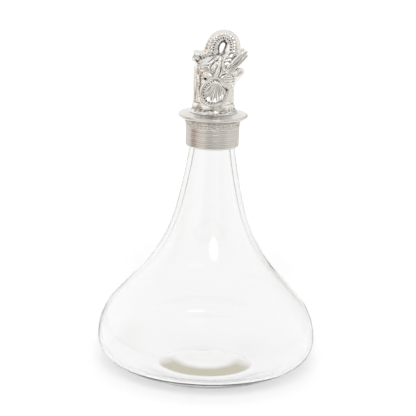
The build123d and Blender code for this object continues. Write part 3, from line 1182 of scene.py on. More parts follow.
GROOVE, RIDGE = Cut
STROKES = (
    # The almond of the eye, its lids and the folds in front of it
    Stroke(GROOVE, 0.4, 0.26, ((-2.2, 29.7), (-2.7, 32.1), (-1.6, 34.5), (0.4, 36.2), (1.7, 37.5))),
    Stroke(GROOVE, 0.4, 0.26, ((-1.4, 29.7), (0.5, 31.0), (1.7, 33.0), (2.2, 35.5), (1.8, 37.3))),
    Stroke(RIDGE, 0.55, 0.5, ((-3.4, 30.2), (-3.8, 32.6), (-2.6, 35.2), (-0.4, 37.0), (1.2, 38.4))),
    Stroke(RIDGE, 0.7, 0.75, ((0.3, 25.6), (2.2, 29.9), (3.6, 34.0), (3.9, 36.8))),
    Stroke(RIDGE, 0.6, 0.55, ((4.3, 26.2), (5.5, 29.9), (5.1, 33.9))),
    Stroke(GROOVE, 0.4, 0.45, ((2.6, 25.8), (4.1, 29.9), (4.6, 34.2), (4.7, 37.0))),
    Stroke(GROOVE, 0.55, 0.8, ((3.9, 25.6), (5.4, 27.2), (7.8, 28.1))),
    Stroke(RIDGE, 0.6, 0.5, ((5.6, 33.9), (6.9, 31.2), (10.2, 28.5), (14.6, 27.8))),
    # The upper lip over the tusk, and lines across the muzzle
    Stroke(GROOVE, 0.4, 0.4, ((7.1, 37.8), (9.8, 38.7), (11.8, 38.4))),
    Stroke(GROOVE, 0.4, 0.4, ((8.6, 39.9), (10.5, 41.6), (12.5, 42.0))),
    Stroke(GROOVE, 0.4, 0.3, ((6.6, 35.9), (9.0, 36.4), (11.6, 35.8))),
    Stroke(GROOVE, 0.5, 0.9, ((10.1, 31.5), (14.0, 34.3), (17.4, 37.6), (20.4, 41.7))),
    Stroke(GROOVE, 0.6, 0.8, ((12.8, 30.2), (15.5, 31.6), (18.6, 33.2))),
    # Rough edge of the plinth
    Stroke(GROOVE, 0.35, 0.25, ((-16.0, 6.9), (-6.0, 7.2), (4.0, 6.7), (16.0, 7.0)), 0.2),
    # Forehead, temple and the beads behind the eye
    Stroke(RIDGE, 0.6, 0.45, ((-10.7, 33.1), (-4.8, 35.3), (-0.1, 38.2), (3.0, 40.0))),
    Stroke(GROOVE, 0.45, 0.45, ((-11.5, 32.3), (-7.9, 33.3), (-3.9, 33.8))),
    # Folds down the neck behind the ear
    Stroke(RIDGE, 0.7, 0.5, ((-12.1, 26.3), (-11.6, 22.3), (-11.8, 17.4), (-11.3, 12.6), (-10.0, 8.6))),
    Stroke(GROOVE, 0.5, 0.6, ((-10.1, 26.3), (-9.7, 21.9), (-10.2, 17.9), (-9.5, 13.0), (-7.9, 8.2))),
    Stroke(GROOVE, 0.45, 0.4, ((-13.5, 23.9), (-13.6, 19.9), (-12.9, 13.8), (-12.7, 7.7)), 0.8),
    # Wrinkles of the throat in front of the ear
    Stroke(GROOVE, 0.4, 0.45, ((7.1, 26.1), (9.5, 25.8), (11.5, 25.5), (13.2, 25.7))),
    Stroke(GROOVE, 0.4, 0.45, ((7.1, 24.5), (9.5, 24.0), (11.9, 23.9), (13.6, 24.1))),
    Stroke(GROOVE, 0.4, 0.45, ((7.6, 22.7), (10.0, 22.2), (12.2, 22.2), (13.8, 22.6))),
    Stroke(GROOVE, 0.5, 0.35, ((11.6, 20.4), (12.9, 17.0), (13.0, 12.0), (12.2, 8.0))),
    # The lower edge of the trunk's tip, where it lies on the forehead
    Stroke(GROOVE, 0.5, 0.6, ((-13.3, 36.1), (-10.4, 33.9), (-5.2, 35.3), (-1.2, 38.4)), 0.6),
)
DIMPLES = (
    Dimple(GROOVE, (-6.4, 24.4), 1.1, 1.3),
    Dimple(RIDGE, (-7.3, 28.6), 0.8, 0.6),
    Dimple(RIDGE, (-5.7, 28.3), 0.8, 0.6),
    Dimple(RIDGE, (-4.1, 27.5), 0.8, 0.6),
    Dimple(RIDGE, (-2.9, 26.4), 0.8, 0.6),
    Dimple(RIDGE, (-0.6, 32.6), 1.1, 0.7),
    Dimple(GROOVE, (-10.3, 38.3), 0.8, 0.9),
    Dimple(GROOVE, (10.1, 31.2), 0.8, 0.8),
)
# Painted shade: lines where the casting is painted darker, in creases, slits and hollows where shade
# falls
SHADE_LINES = (
    # Painted shade inside the trunk's loop
    ShadeLine(
        0.95,
        1.0,
        ((6.1, 50.0), (7.4, 47.5), (5.9, 43.6), (3.4, 41.6), (2.1, 44.4), (3.6, 48.4), (6.1, 50.0)),
    ),
    # Painted shade between the beads on the loop's flank
    ShadeLine(
        1.6,
        0.45,
        ((-1.4, 43.0), (-0.8, 47.3), (1.7, 50.7), (5.8, 52.0), (9.3, 50.0), (10.7, 46.4), (10.6, 42.0)),
    ),
    # Painted shade in the slit between lip and tusk, and in the corner of the mouth
    ShadeLine(0.55, 0.8, ((10.2, 31.6), (13.6, 34.9), (17.0, 38.6), (19.9, 41.6))),
    ShadeLine(0.9, 0.5, ((9.0, 27.0), (11.0, 27.6))),
    # Painted shade in the hollow behind the ear and in the nostril, and along the rough foot, where it
    # also dims a bright rim
    ShadeLine(1.5, 0.45, ((-7.6, 24.6), (-6.2, 23.4))),
    ShadeLine(0.7, 0.6, ((-10.6, 38.4), (-9.8, 38.0))),
    ShadeLine(2.2, 0.2, ((-16.0, 4.0), (16.0, 4.0))),
    ShadeLine(2.6, 0.25, ((-17.5, 1.6), (17.5, 1.6))),
)
HOLLOWS = (Hollow(6, 0.6, 0.075, -0.4, 0.72), Hollow(40, 0.7, 0.75, -0.3, 0.55))


def relax(points: np.ndarray, edges: np.ndarray, rounds: int, share: float) -> np.ndarray:
    """Moves every point towards the mean of its neighbours.

    Args:
        points: One row for each vertex.
        edges: Pairs of vertex numbers.
        rounds: How often to do it.
        share: How far to move each time, as a share of the way.

    Returns:
        The moved points.
    """
    count = np.bincount(edges.ravel(), minlength=len(points))[:, None]
    first, second = edges.T
    for _ in range(rounds):
        total = np.zeros_like(points)
        for axis, column in enumerate(points.T):
            total[:, axis] = np.bincount(first, column[second], len(points)) + np.bincount(
                second, column[first], len(points)
            )
        points = points + share * (total / np.maximum(count, 1) - points)
    return points


def read_mesh(data: bpy.types.Mesh) -> tuple[np.ndarray, np.ndarray, np.ndarray]:
    """Reads a mesh into arrays.

    Args:
        data: The mesh.

    Returns:
        Its points, vertex normals and edges.
    """
    points = np.empty(len(data.vertices) * 3)
    data.vertices.foreach_get("co", points)
    normals = np.empty(len(data.vertices) * 3, np.float32)
    data.vertex_normals.foreach_get("vector", normals)
    edges = np.empty(len(data.edges) * 2, np.int32)
    data.edges.foreach_get("vertices", edges)
    return points.reshape(-1, 3), normals.reshape(-1, 3).astype(float), edges.reshape(-1, 2)


def write_points(data: bpy.types.Mesh, points: np.ndarray) -> None:
    """Puts moved points back into a mesh."""
    data.vertices.foreach_set("co", points.ravel())
    data.update()


def gap_to_line(places: np.ndarray, line: np.ndarray) -> np.ndarray:
    """Measures how far places in a plane are from a line of short runs.

    Args:
        places: One row of two numbers for each place.
        line: The line's points.

    Returns:
        One distance for each place.
    """
    best = np.full(len(places), np.inf)
    for start, end in zip(line[:-1], line[1:]):
        run = end - start
        share = np.clip(((places - start) @ run) / (run @ run), 0, 1)
        best = np.minimum(best, np.linalg.norm(places - start - share[:, None] * run, axis=1))
    return best


def age_hollows_and_paint_shade(data: bpy.types.Mesh, base: float, shade_lines: tuple[ShadeLine, ...] = ()) -> None:
    """Writes the patina attribute: tarnish, near 1 in hollows and near 0 on high places, plus painted
    shade along given lines.

    Args:
        data: The mesh.
        base: Height of the casting's foot.
        shade_lines: Lines along which shade is painted darker.
    """
    points, normals, edges = read_mesh(data)
    soft, tone = points, np.zeros(len(points))
    for hollow in HOLLOWS:
        soft = relax(soft, edges, hollow.rounds, hollow.share)
        depth = ((soft - points) * normals).sum(axis=1) / MM
        tone += np.clip(depth / hollow.full, hollow.least, 1.0) * hollow.weight
    flat = points[:, [0, 2]] / MM - np.array([0.0, base])
    # Painted shade along each given line
    for shade_line in shade_lines:
        gap = gap_to_line(flat, smooth_line(shade_line.line, LINE_SPACING))
        tone += shade_line.amount * np.exp(-((gap / shade_line.width) ** 2))
    patina_and_shade = data.attributes.new("patina_and_shade", "FLOAT", "POINT")
    patina_and_shade.data.foreach_set("value", np.clip(tone, 0, 1).astype(np.float32))


@dataclass
class Figure:
    """The cast elephant head: plinth, neck, skull, muzzle, jaw and looping trunk in one piece.

    Attributes:
        base: Height of its foot.
        clearance: Gap between its foot and the brim.
        plinth: Foot radius, radius and height of the hammered plinth.
        neck: Up, forward, half length and half width of neck and skull, from foot to crown.
        muzzle: Forward, up, half width and half height of the upper jaw, from the skull out.
        muzzle_facing: Degrees up from forwards that its sections face.
        jaw: The same of the lower jaw out to its pointed lip, and where each section faces.
        lip: Forward, up, sideways, half width and half height of the upper lip's fold.
        lip_facing: Degrees up from forwards that its sections face.
        swells: Middle and half sizes of cheek, temple, brow and the lip's lower end.
        trunk_line: Forward, up and radius along the trunk, from root to tip.
        trunk_step: Distance between its sections.
        flatness: Width of the trunk as a share of its height.
        ring_pitch: Distance between the trunk's rings.
        ring_height: Height of the rings.
        ring_zone: Shares of the trunk where the rings begin and end.
        ring_fade: Share of the trunk over which they do.
        ring_turn: Degrees from the trunk's outer side where they end, and over which they fade.
        ring_top: Their height on the outer side as a share, and degrees to where they are full.
        ring_power: Power under 1, which makes them blunt.
        crest_notch: Share of the flank groove's depth that is left on a ring.
        flank: Degrees from the trunk's outer side to the groove on its flank, and its half width.
        flank_depth: Depth of that groove.
        inner_swell: How far the trunk's inner side fills out.
        inner_from: Degrees from the outer side where that begins.
        voxel: Size of the grid that joins the limbs.
        texture: Size and height of the unevenness that the mould leaves.
        texture_layers: Pitch and share of its layers.
        hammered_to: Height up to which the plinth is hammered.
        marks: Heights of the hammer marks and of the fine wrinkles over them.
    """

    base: float = CASTING_FOOT
    clearance: float = 0.02
    plinth: Triple = (17.2, 14.8, 7.0)
    neck: tuple[tuple[float, ...], ...] = (
        (1.0, 0.2, 14.6, 13.6), (6.0, 0.0, 14.4, 13.0), (10.0, -0.1, 14.1, 12.6),
        (16.0, -0.2, 14.1, 12.2), (21.0, 0.2, 14.5, 12.0), (25.0, 0.5, 14.9, 11.6),
        (28.5, 0.3, 14.6, 11.2), (31.5, -0.3, 13.6, 10.7), (34.5, -0.9, 12.0, 9.6),
        (37.0, -0.8, 9.6, 7.8), (39.0, 0.0, 6.6, 5.4), (40.2, 1.0, 3.2, 2.6),
    )
    muzzle: tuple[tuple[float, ...], ...] = (
        (0.0, 28.0, 9.6, 10.2), (3.6, 31.0, 9.3, 9.4), (7.2, 34.2, 8.6, 8.0),
        (10.2, 37.6, 7.2, 6.6), (12.2, 41.0, 5.8, 5.4), (13.0, 43.4, 4.4, 4.2),
    )
    muzzle_facing: float = 51.0
    jaw: tuple[tuple[float, ...], ...] = (
        (6.0, 24.5, 7.0, 6.2, 6), (10.5, 24.6, 6.2, 6.2, 10), (13.4, 25.6, 5.4, 5.2, 18),
        (15.9, 27.0, 4.5, 4.1, 28), (17.7, 28.3, 3.5, 3.1, 34), (19.0, 29.3, 2.7, 2.2, 38),
        (19.8, 29.9, 1.5, 1.3, 40),
    )
    lip: tuple[tuple[float, ...], ...] = (
        (7.0, 29.0, 6.6, 2.6, 2.2), (10.4, 32.9, 6.9, 2.3, 2.3), (13.8, 36.5, 6.6, 2.0, 2.2),
        (17.0, 39.8, 6.3, 1.8, 2.0), (18.8, 42.2, 6.0, 1.5, 1.7), (19.7, 43.6, 5.8, 0.9, 1.0),
    )
    lip_facing: float = 48.0
    swells: tuple[tuple[Triple, Triple], ...] = (
        ((2.6, 7.6, 31.0), (5.4, 3.4, 6.6)), ((-5.6, 6.8, 31.6), (5.4, 3.4, 4.6)),
        ((2.6, 6.6, 37.0), (3.6, 2.2, 3.4)), ((12.6, 5.6, 28.2), (3.4, 2.6, 2.6)),
    )
    trunk_line: tuple[Triple, ...] = (
        (6.5, 27.5, 6.6), (9.5, 33.5, 6.5), (11.7, 40.3, 5.8), (12.3, 46.3, 4.8),
        (10.9, 50.8, 4.3), (6.6, 53.3, 3.95), (1.8, 52.2, 4.05), (-1.3, 48.9, 4.3),
        (-2.6, 45.2, 4.6), (-3.0, 42.2, 4.8), (-4.7, 39.7, 4.5), (-8.0, 38.6, 4.1),
        (-11.0, 38.3, 3.8), (-13.4, 38.5, 4.2), (-14.8, 38.7, 4.1), (-15.3, 38.8, 3.4),
    )
    trunk_step: float = 0.24
    flatness: float = 0.96
    ring_pitch: float = 1.95
    ring_height: float = 0.5
    ring_zone: Pair = (0.06, 0.93)
    ring_fade: float = 0.08
    ring_turn: Pair = (108.0, 14.0)
    ring_top: Pair = (0.45, 70.0)
    ring_power: float = 0.7
    crest_notch: float = 0.15
    flank: Pair = (110.0, 9.0)
    flank_depth: float = 1.15
    inner_swell: float = 1.1
    inner_from: float = 128.0
    voxel: float = 0.34
    texture: Pair = (2.2, 0.11)
    texture_layers: tuple[Pair, ...] = ((1.0, 1.0), (2.3, 0.5))
    hammered_to: float = 7.4
    marks: Pair = (0.2, 0.16)

    def add_trunk(self, mesh: Shape) -> None:
        """Adds the trunk, with rings on its outer side and a groove along each flank.

        Args:
            mesh: Mesh that gets the trunk.
        """
        points = [(ahead, 0.0, up, radius) for ahead, up, radius in self.trunk_line]
        ovals, ways = along_line(smooth_path(points, self.trunk_step), self.flatness)
        rings = loft(mesh, ovals, self.base, segments=72)
        begin, end = self.ring_zone
        ring_end, ring_out = self.ring_turn
        low, full = self.ring_top
        flank_turn, flank_width = self.flank
        inner_from = self.inner_from
        for number, (ring, oval, way) in enumerate(zip(rings, ovals, ways)):
            middle = (Vector(oval.middle) + Vector((0, 0, self.base))) * MM
            outer = Vector((way[1], 0, -way[0])).normalized()
            share = number / len(rings)
            fade = ramp(share - begin, self.ring_fade) * ramp(end - share, self.ring_fade)
            phase = math.pi * number * self.trunk_step / self.ring_pitch
            swell = abs(math.sin(phase)) ** self.ring_power
            notch = self.crest_notch + (1 - self.crest_notch) * (1 - swell)
            for vertex in ring:
                away = vertex.co - middle
                # Degrees from the outer side: the rings end before the flank, which is grooved
                # between them, and behind it the inner side fills out
                turn = math.degrees(away.angle(outer))
                ringed = ramp(ring_end - turn, ring_out) * (low + (1 - low) * ramp(turn, full))
                groove = self.flank_depth * math.exp(-(((turn - flank_turn) / flank_width) ** 2))
                filled = ramp(turn - inner_from, 180 - inner_from)
                inner = self.inner_swell * math.sin(math.pi / 2 * filled)
                lift = self.ring_height * (swell - 0.5) * ringed + inner - groove * notch
                vertex.co += away.normalized() * (fade * lift * MM)

    def add_plinth(self, mesh: Shape) -> None:
        """Adds the plinth, whose sides roll in a little over its foot.

        Args:
            mesh: Mesh that gets the plinth.
        """
        foot, radius, height = self.plinth
        edge, roll, draft, shoulder, cap, inset = 0.1, 3.8, 0.1, 2.0, 1.4, 2.4
        roll_slope, lean = 20, 5
        low = self.base + self.clearance
        top = self.base + height + cap
        pen = Outline()
        pen.start((0, low))
        pen.lines((foot, low), (foot, low + edge))
        pen.heading = 180 - roll_slope
        pen.arc_to((radius, self.base + roll), steps=10)
        pen.lines((radius - draft, self.base + height - shoulder))
        pen.heading = 90 + lean
        pen.arc_to((radius - inset, top), steps=5)
        pen.lines((0, top))
        turned = to_data(pen.spin(steps=96), "plinth_turning")
        mesh.from_mesh(turned)
        bpy.data.meshes.remove(turned)

    def limbs(self) -> Shape:
        """Builds all limbs as closed overlapping forms.

        Returns:
            The mesh that holds them.
        """
        mesh = bmesh.new()
        neck = [Oval((shift, 0, up), 90, broad, long) for up, shift, long, broad in self.neck]
        loft(mesh, neck, self.base, segments=64)
        muzzle = [
            Oval((ahead, 0, up), self.muzzle_facing, broad, high)
            for ahead, up, broad, high in self.muzzle
        ]
        loft(mesh, muzzle, self.base, segments=56)
        jaw = [
            Oval((ahead, 0, up), facing, broad, high) for ahead, up, broad, high, facing in self.jaw
        ]
        loft(mesh, jaw, self.base, segments=48)
        for side in Side:
            lip = [
                Oval((ahead, side.value * away, up), self.lip_facing, broad, high)
                for ahead, up, away, broad, high in self.lip
            ]
            loft(mesh, lip, self.base, segments=32)
            for (ahead, away, up), sizes in self.swells:
                place = Vector((ahead, side.value * away, up + self.base)) * MM
                size = Matrix.Diagonal((*(half * MM for half in sizes), 1))
                placing = Matrix.Translation(place) @ size
                bmesh.ops.create_uvsphere(
                    mesh, u_segments=32, v_segments=20, radius=1.0, matrix=placing
                )
        self.add_trunk(mesh)
        self.add_plinth(mesh)
        bmesh.ops.recalc_face_normals(mesh, faces=mesh.faces[:])
        return mesh

    def join_limbs(self, mesh: Shape) -> bpy.types.Mesh:
        """Joins overlapping closed forms into one skin.

        Args:
            mesh: The limbs; freed.

        Returns:
            The skin as a new mesh.
        """
        rough = to_data(mesh, "limbs")
        holder = place_object("limbs", rough)
        grid = holder.modifiers.new("grid", "REMESH")
        grid.mode = "VOXEL"
        grid.voxel_size = self.voxel * MM
        grid.use_smooth_shade = True
        bpy.context.view_layer.update()
        graph = bpy.context.evaluated_depsgraph_get()
        skin = bpy.data.meshes.new_from_object(holder.evaluated_get(graph))
        bpy.data.objects.remove(holder)
        bpy.data.meshes.remove(rough)
        return skin

    def texture_lift(self, points: np.ndarray) -> np.ndarray:
        """Works out the unevenness of mould, hammer and fine wrinkles.

        Args:
            points: The skin's points.

        Returns:
            Height in millimetres at each point.
        """
        size, height = self.texture
        hammer, wrinkles = self.marks
        skull_from, fade, foot_edge, foot_fade, least = 26.0, 0.8, 1.0, 3.0, 0.2
        squeeze, stretch = 2.6, 0.6
        lift = np.zeros(len(points))
        for number, point in enumerate(points):
            place = Vector(point) / (size * MM)
            lift[number] = height * lumps(place, self.texture_layers)
            up = point[2] / MM - self.base
            if up < skull_from:
                # The plinth is hammered, and fine wrinkles run across the neck over it
                hammered = ramp(self.hammered_to - up, fade)
                hammered *= max(least, ramp(up - foot_edge, foot_fade))
                across = Vector((place.x * stretch, place.y * stretch, place.z * squeeze))
                lift[number] += hammered * hammer * noise.noise(place)
                lift[number] += (1 - hammered) * wrinkles * noise.noise(across)
        return lift

    def work_surface(self, skin: bpy.types.Mesh) -> None:
        """Softens the joins, then works the strokes, dimples and casting texture into the skin.

        Args:
            skin: The casting's mesh.
        """
        points, _, edges = read_mesh(skin)
        # A step back after each step in keeps the forms from shrinking
        for share in (0.6, -0.35) * 3:
            points = relax(points, edges, 1, share)
        write_points(skin, points)
        points, normals, edges = read_mesh(skin)
        flat = points[:, [0, 2]] / MM - np.array([0.0, self.base])
        away = np.abs(points[:, 1]) / MM
        # Strokes reach only what faces sideways, and the foot stays flat for the brim
        least_sideways, full_sideways, flat_foot, foot_fade = 0.12, 0.47, 0.3, 0.6
        facing = (np.abs(normals[:, 1]) - least_sideways) / (full_sideways - least_sideways)
        facing = np.clip(facing, 0, 1)
        lift = self.texture_lift(points)
        for stroke in STROKES:
            gap = gap_to_line(flat, smooth_line(stroke.line, LINE_SPACING)) / stroke.width
            reach = facing * (away > stroke.least_y)
            lift += stroke.cut.value * stroke.height * np.exp(-(gap**2)) * reach
        for dimple in DIMPLES:
            gap = np.linalg.norm(flat - np.array(dimple.middle), axis=1) / dimple.radius
            reach = facing * (away > dimple.least_y)
            lift += dimple.cut.value * dimple.height * np.exp(-(gap**2)) * reach
        foot = np.clip((points[:, 2] / MM - self.base - flat_foot) / foot_fade, 0, 1)
        points = points + normals * (lift * foot * MM)[:, None]
        points = relax(points, edges, 1, 0.3)
        points[:, 2] = np.maximum(points[:, 2], (self.base + self.clearance) * MM)
        write_points(skin, points)

    def build(self) -> None:
        """Builds, joins and works the casting, tarnishes its hollows, paints shade along its creases
        and dresses it.
        """
        skin = self.join_limbs(self.limbs())
        self.work_surface(skin)
        age_hollows_and_paint_shade(skin, self.base, SHADE_LINES)
        publish(
            skin, "figure_cast", "stopper", "elephant_head", CAST_PEWTER
        )


@dataclass
class Ear:
    """A cupped ear with a rolled rim, pleats that fan from its top, and a pad behind it.

    Attributes:
        side: Side of the head.
        base: Height of the casting's foot.
        middle: Forward and up from there to the ear's middle.
        stand: Distance of the cup's floor from the middle plane.
        tilt: Lean of the ear's face, in degrees.
        rim_line: Outline of the rim's crest, forward and up from the casting's foot.
        apex: Where the pleats meet, forward and up.
        depth: Depth of the cup under the rim's crest.
        rim_width: Width of the rolled rim.
        rim_height: Height of the roll over the cup's edge.
        gutter: Depth of the line inside the rim, and of the beads along it at the back.
        gutter_place: Distance of that line inside the rim's crest, as a share of the rim's width.
        gutter_from: Distance from the apex where the line is full.
        beads: Number of beads in a full turn of the rim.
        pleats: Number of pleats in half a turn round the apex.
        pleat_height: Height of the pleats.
        pleat_zone: Distances from the apex where they begin and are full, and shares of the way
            to the rim where they fade and end.
        back: How far the pad reaches in behind the cup's floor.
        pad: Size of the pad's end as a share of the ear.
        steps: Faces from the middle to the rim.
        spokes: Faces round the ear.
    """

    side: Side
    base: float = CASTING_FOOT
    middle: Pair = (1.1, 15.9)
    stand: float = 12.9
    tilt: float = 6.0
    rim_line: tuple[Pair, ...] = (
        (2.4, 25.4), (-0.6, 25.4), (-3.8, 23.8), (-6.5, 21.4), (-8.3, 18.5), (-8.9, 14.6),
        (-7.8, 10.6), (-5.2, 7.8), (-0.8, 6.6), (3.3, 7.1), (6.5, 8.6), (8.7, 11.5), (9.9, 15.2),
        (10.2, 18.2), (8.4, 20.3), (6.2, 22.2), (4.2, 24.2),
    )
    apex: Pair = (2.1, 24.6)
    depth: float = 3.0
    rim_width: float = 1.9
    rim_height: float = 0.55
    gutter: Pair = (0.24, 0.7)
    gutter_place: float = 0.95
    gutter_from: float = 6.0
    beads: int = 26
    pleats: float = 13.0
    pleat_height: float = 0.44
    pleat_zone: tuple[float, ...] = (1.0, 4.0, 0.56, 0.86)
    back: float = 4.5
    pad: float = 0.62
    steps: int = 44
    spokes: int = 132

    def rim_radius(self, turns: np.ndarray) -> np.ndarray:
        """Measures from the ear's middle to its rim's crest.

        Args:
            turns: Angles from forwards, in radians.

        Returns:
            The distance at each angle.
        """
        closed = (*self.rim_line, self.rim_line[0])
        line = smooth_line(closed, 0.3) - np.array(self.middle)
        angles = np.arctan2(line[:, 1], line[:, 0])
        order = np.argsort(angles)
        return np.interp(turns, angles[order], np.hypot(*line[order].T), period=math.tau)

    def relief(self, ahead: float, up: float, radius: float, crest: float) -> float:
        """Returns how far the ear's face stands over its floor.

        Args:
            ahead: Distance forwards from the ear's middle.
            up: Distance upwards from it.
            radius: Distance from it.
            crest: Distance of the rim's crest in the same direction.

        Returns:
            Height over the cup's floor in millimetres.
        """
        share = radius / crest
        over = (radius - crest) / (self.rim_width * 0.5)
        narrow, fall, gutter_width = 1.1, 1.6, 0.5
        height = self.depth * ramp(share, 1.0) ** 3
        height += self.rim_height * math.exp(-(over**2) * narrow) - fall * max(0.0, over) ** 2
        from_apex = (ahead + self.middle[0] - self.apex[0], up + self.middle[1] - self.apex[1])
        distance = math.hypot(*from_apex)
        # Inside the rim runs a line, which is beaded towards the back of the head
        backwards = 0.5 - 0.5 * ahead / max(radius, 0.1)
        beads = 0.5 + 0.5 * math.sin(math.atan2(up, ahead) * self.beads)
        line, bead = self.gutter
        inside = (radius - crest + self.rim_width * self.gutter_place) / gutter_width
        cut = line * ramp(distance, self.gutter_from) + bead * beads * backwards**2
        height -= cut * math.exp(-(inside**2))
        # The pleats fan from the apex and die out before the rim
        start, full, fold_out, end = self.pleat_zone
        fade = ramp(distance - start, full - start) * ramp(end - share, end - fold_out)
        spread = math.atan2(from_apex[0], -from_apex[1])
        blunt, middle = 0.7, 0.6
        fold = abs(math.sin(spread * self.pleats)) ** blunt - middle
        return height + self.pleat_height * fade * fold

    def build(self) -> None:
        """Spins a fan of faces, shapes it into the ear, closes its back and dresses it."""
        mesh = bmesh.new()
        chain = [mesh.verts.new((step / self.steps, 0, 0)) for step in range(self.steps + 1)]
        for ends in zip(chain, chain[1:]):
            mesh.edges.new(ends)
        spin_full(mesh, self.spokes, 1e-6)
        grown, last = extrude_rim(mesh, [edge for edge in mesh.edges if edge.is_boundary])
        bmesh.ops.contextual_create(mesh, geom=last)
        hem = set(grown)
        turns = np.array([math.atan2(vertex.co.y, vertex.co.x) for vertex in mesh.verts])
        lean = Matrix.Rotation(math.radians(-self.tilt), 4, "X")
        middle = Vector((self.middle[0], -self.stand, self.base + self.middle[1]))
        for vertex, turn, crest in zip(mesh.verts, turns, self.rim_radius(turns)):
            radius = vertex.co.xy.length * (crest + self.rim_width * 0.5)
            ahead, up = radius * math.cos(turn), radius * math.sin(turn)
            out = self.relief(ahead, up, radius, crest)
            if vertex in hem:
                ahead, up, out = ahead * self.pad, up * self.pad, -self.back
            vertex.co = MM * (middle + lean @ Vector((ahead, -out, up)))
        if self.side is Side.LEFT:
            bmesh.ops.scale(mesh, vec=(1, -1, 1), verts=mesh.verts[:])
        bmesh.ops.recalc_face_normals(mesh, faces=mesh.faces[:])
        side = self.side.name.lower()
        data = to_data(mesh, f"ear_{side}")
        age_hollows_and_paint_shade(data, self.base)
        publish(
            data, f"ear_{side}", "stopper", f"{side}_ear", CAST_PEWTER
        )


@dataclass
class Tusk:
    """A slim tusk that leaves the upper lip and sweeps up beside the muzzle.

    Attributes:
        side: Side of the head.
        base: Height of the casting's foot.
        line: Forward, up and radius along it.
        spread: Distance from the middle plane.
        step: Distance between its sections.
        segments: Edges round each section.
    """

    side: Side
    base: float = CASTING_FOOT
    line: tuple[Triple, ...] = (
        (9.4, 27.3, 1.25), (12.9, 31.2, 1.2), (16.4, 34.7, 1.12), (19.4, 37.9, 1.04),
        (21.2, 40.1, 0.92), (21.9, 41.1, 0.7), (22.2, 41.6, 0.25),
    )
    spread: float = 7.6
    step: float = 0.5
    segments: int = 24

    def build(self) -> None:
        """Lofts the tusk along its line and dresses it."""
        mesh = bmesh.new()
        away = self.side.value * self.spread
        points = [(ahead, away, up, radius) for ahead, up, radius in self.line]
        ovals, _ = along_line(smooth_path(points, self.step), 1.0)
        loft(mesh, ovals, self.base, self.segments)
        bmesh.ops.recalc_face_normals(mesh, faces=mesh.faces[:])
        side = self.side.name.lower()
        publish(
            mesh, f"tusk_{side}", "stopper", f"{side}_tusk", BUFFED_PEWTER
        )


@dataclass
class Fittings:
    """The hidden fittings, whose solids keep their shape and get their real finish.

    Attributes:
        finishes: The finish of each fitting, by the name of its node.
    """

    finishes: dict[str, PlainFinish] = field(
        default_factory=lambda: {
            "neck_cement": SET_CEMENT,
            "plug_core": TURNED_NYLON,
            "upper_seal_ring": MOULDED_SILICONE,
            "lower_seal_ring": MOULDED_SILICONE,
            "plug_washer": DRAWN_STAINLESS,
            "plug_nut": DRAWN_STAINLESS,
            "fixing_stud": DRAWN_STAINLESS,
        }
    )

    def dress(self, nodes: dict[str, bpy.types.Object]) -> None:
        """Gives each fitting's node its material.

        Args:
            nodes: The frame's nodes by name.
        """
        for name, finish in self.finishes.items():
            piece = nodes[name]
            if not piece.material_slots:
                piece.data.materials.append(finish.material())
            for slot in piece.material_slots:
                slot.material = finish.material()
            LOG.info("%s: %s", name, finish.name)


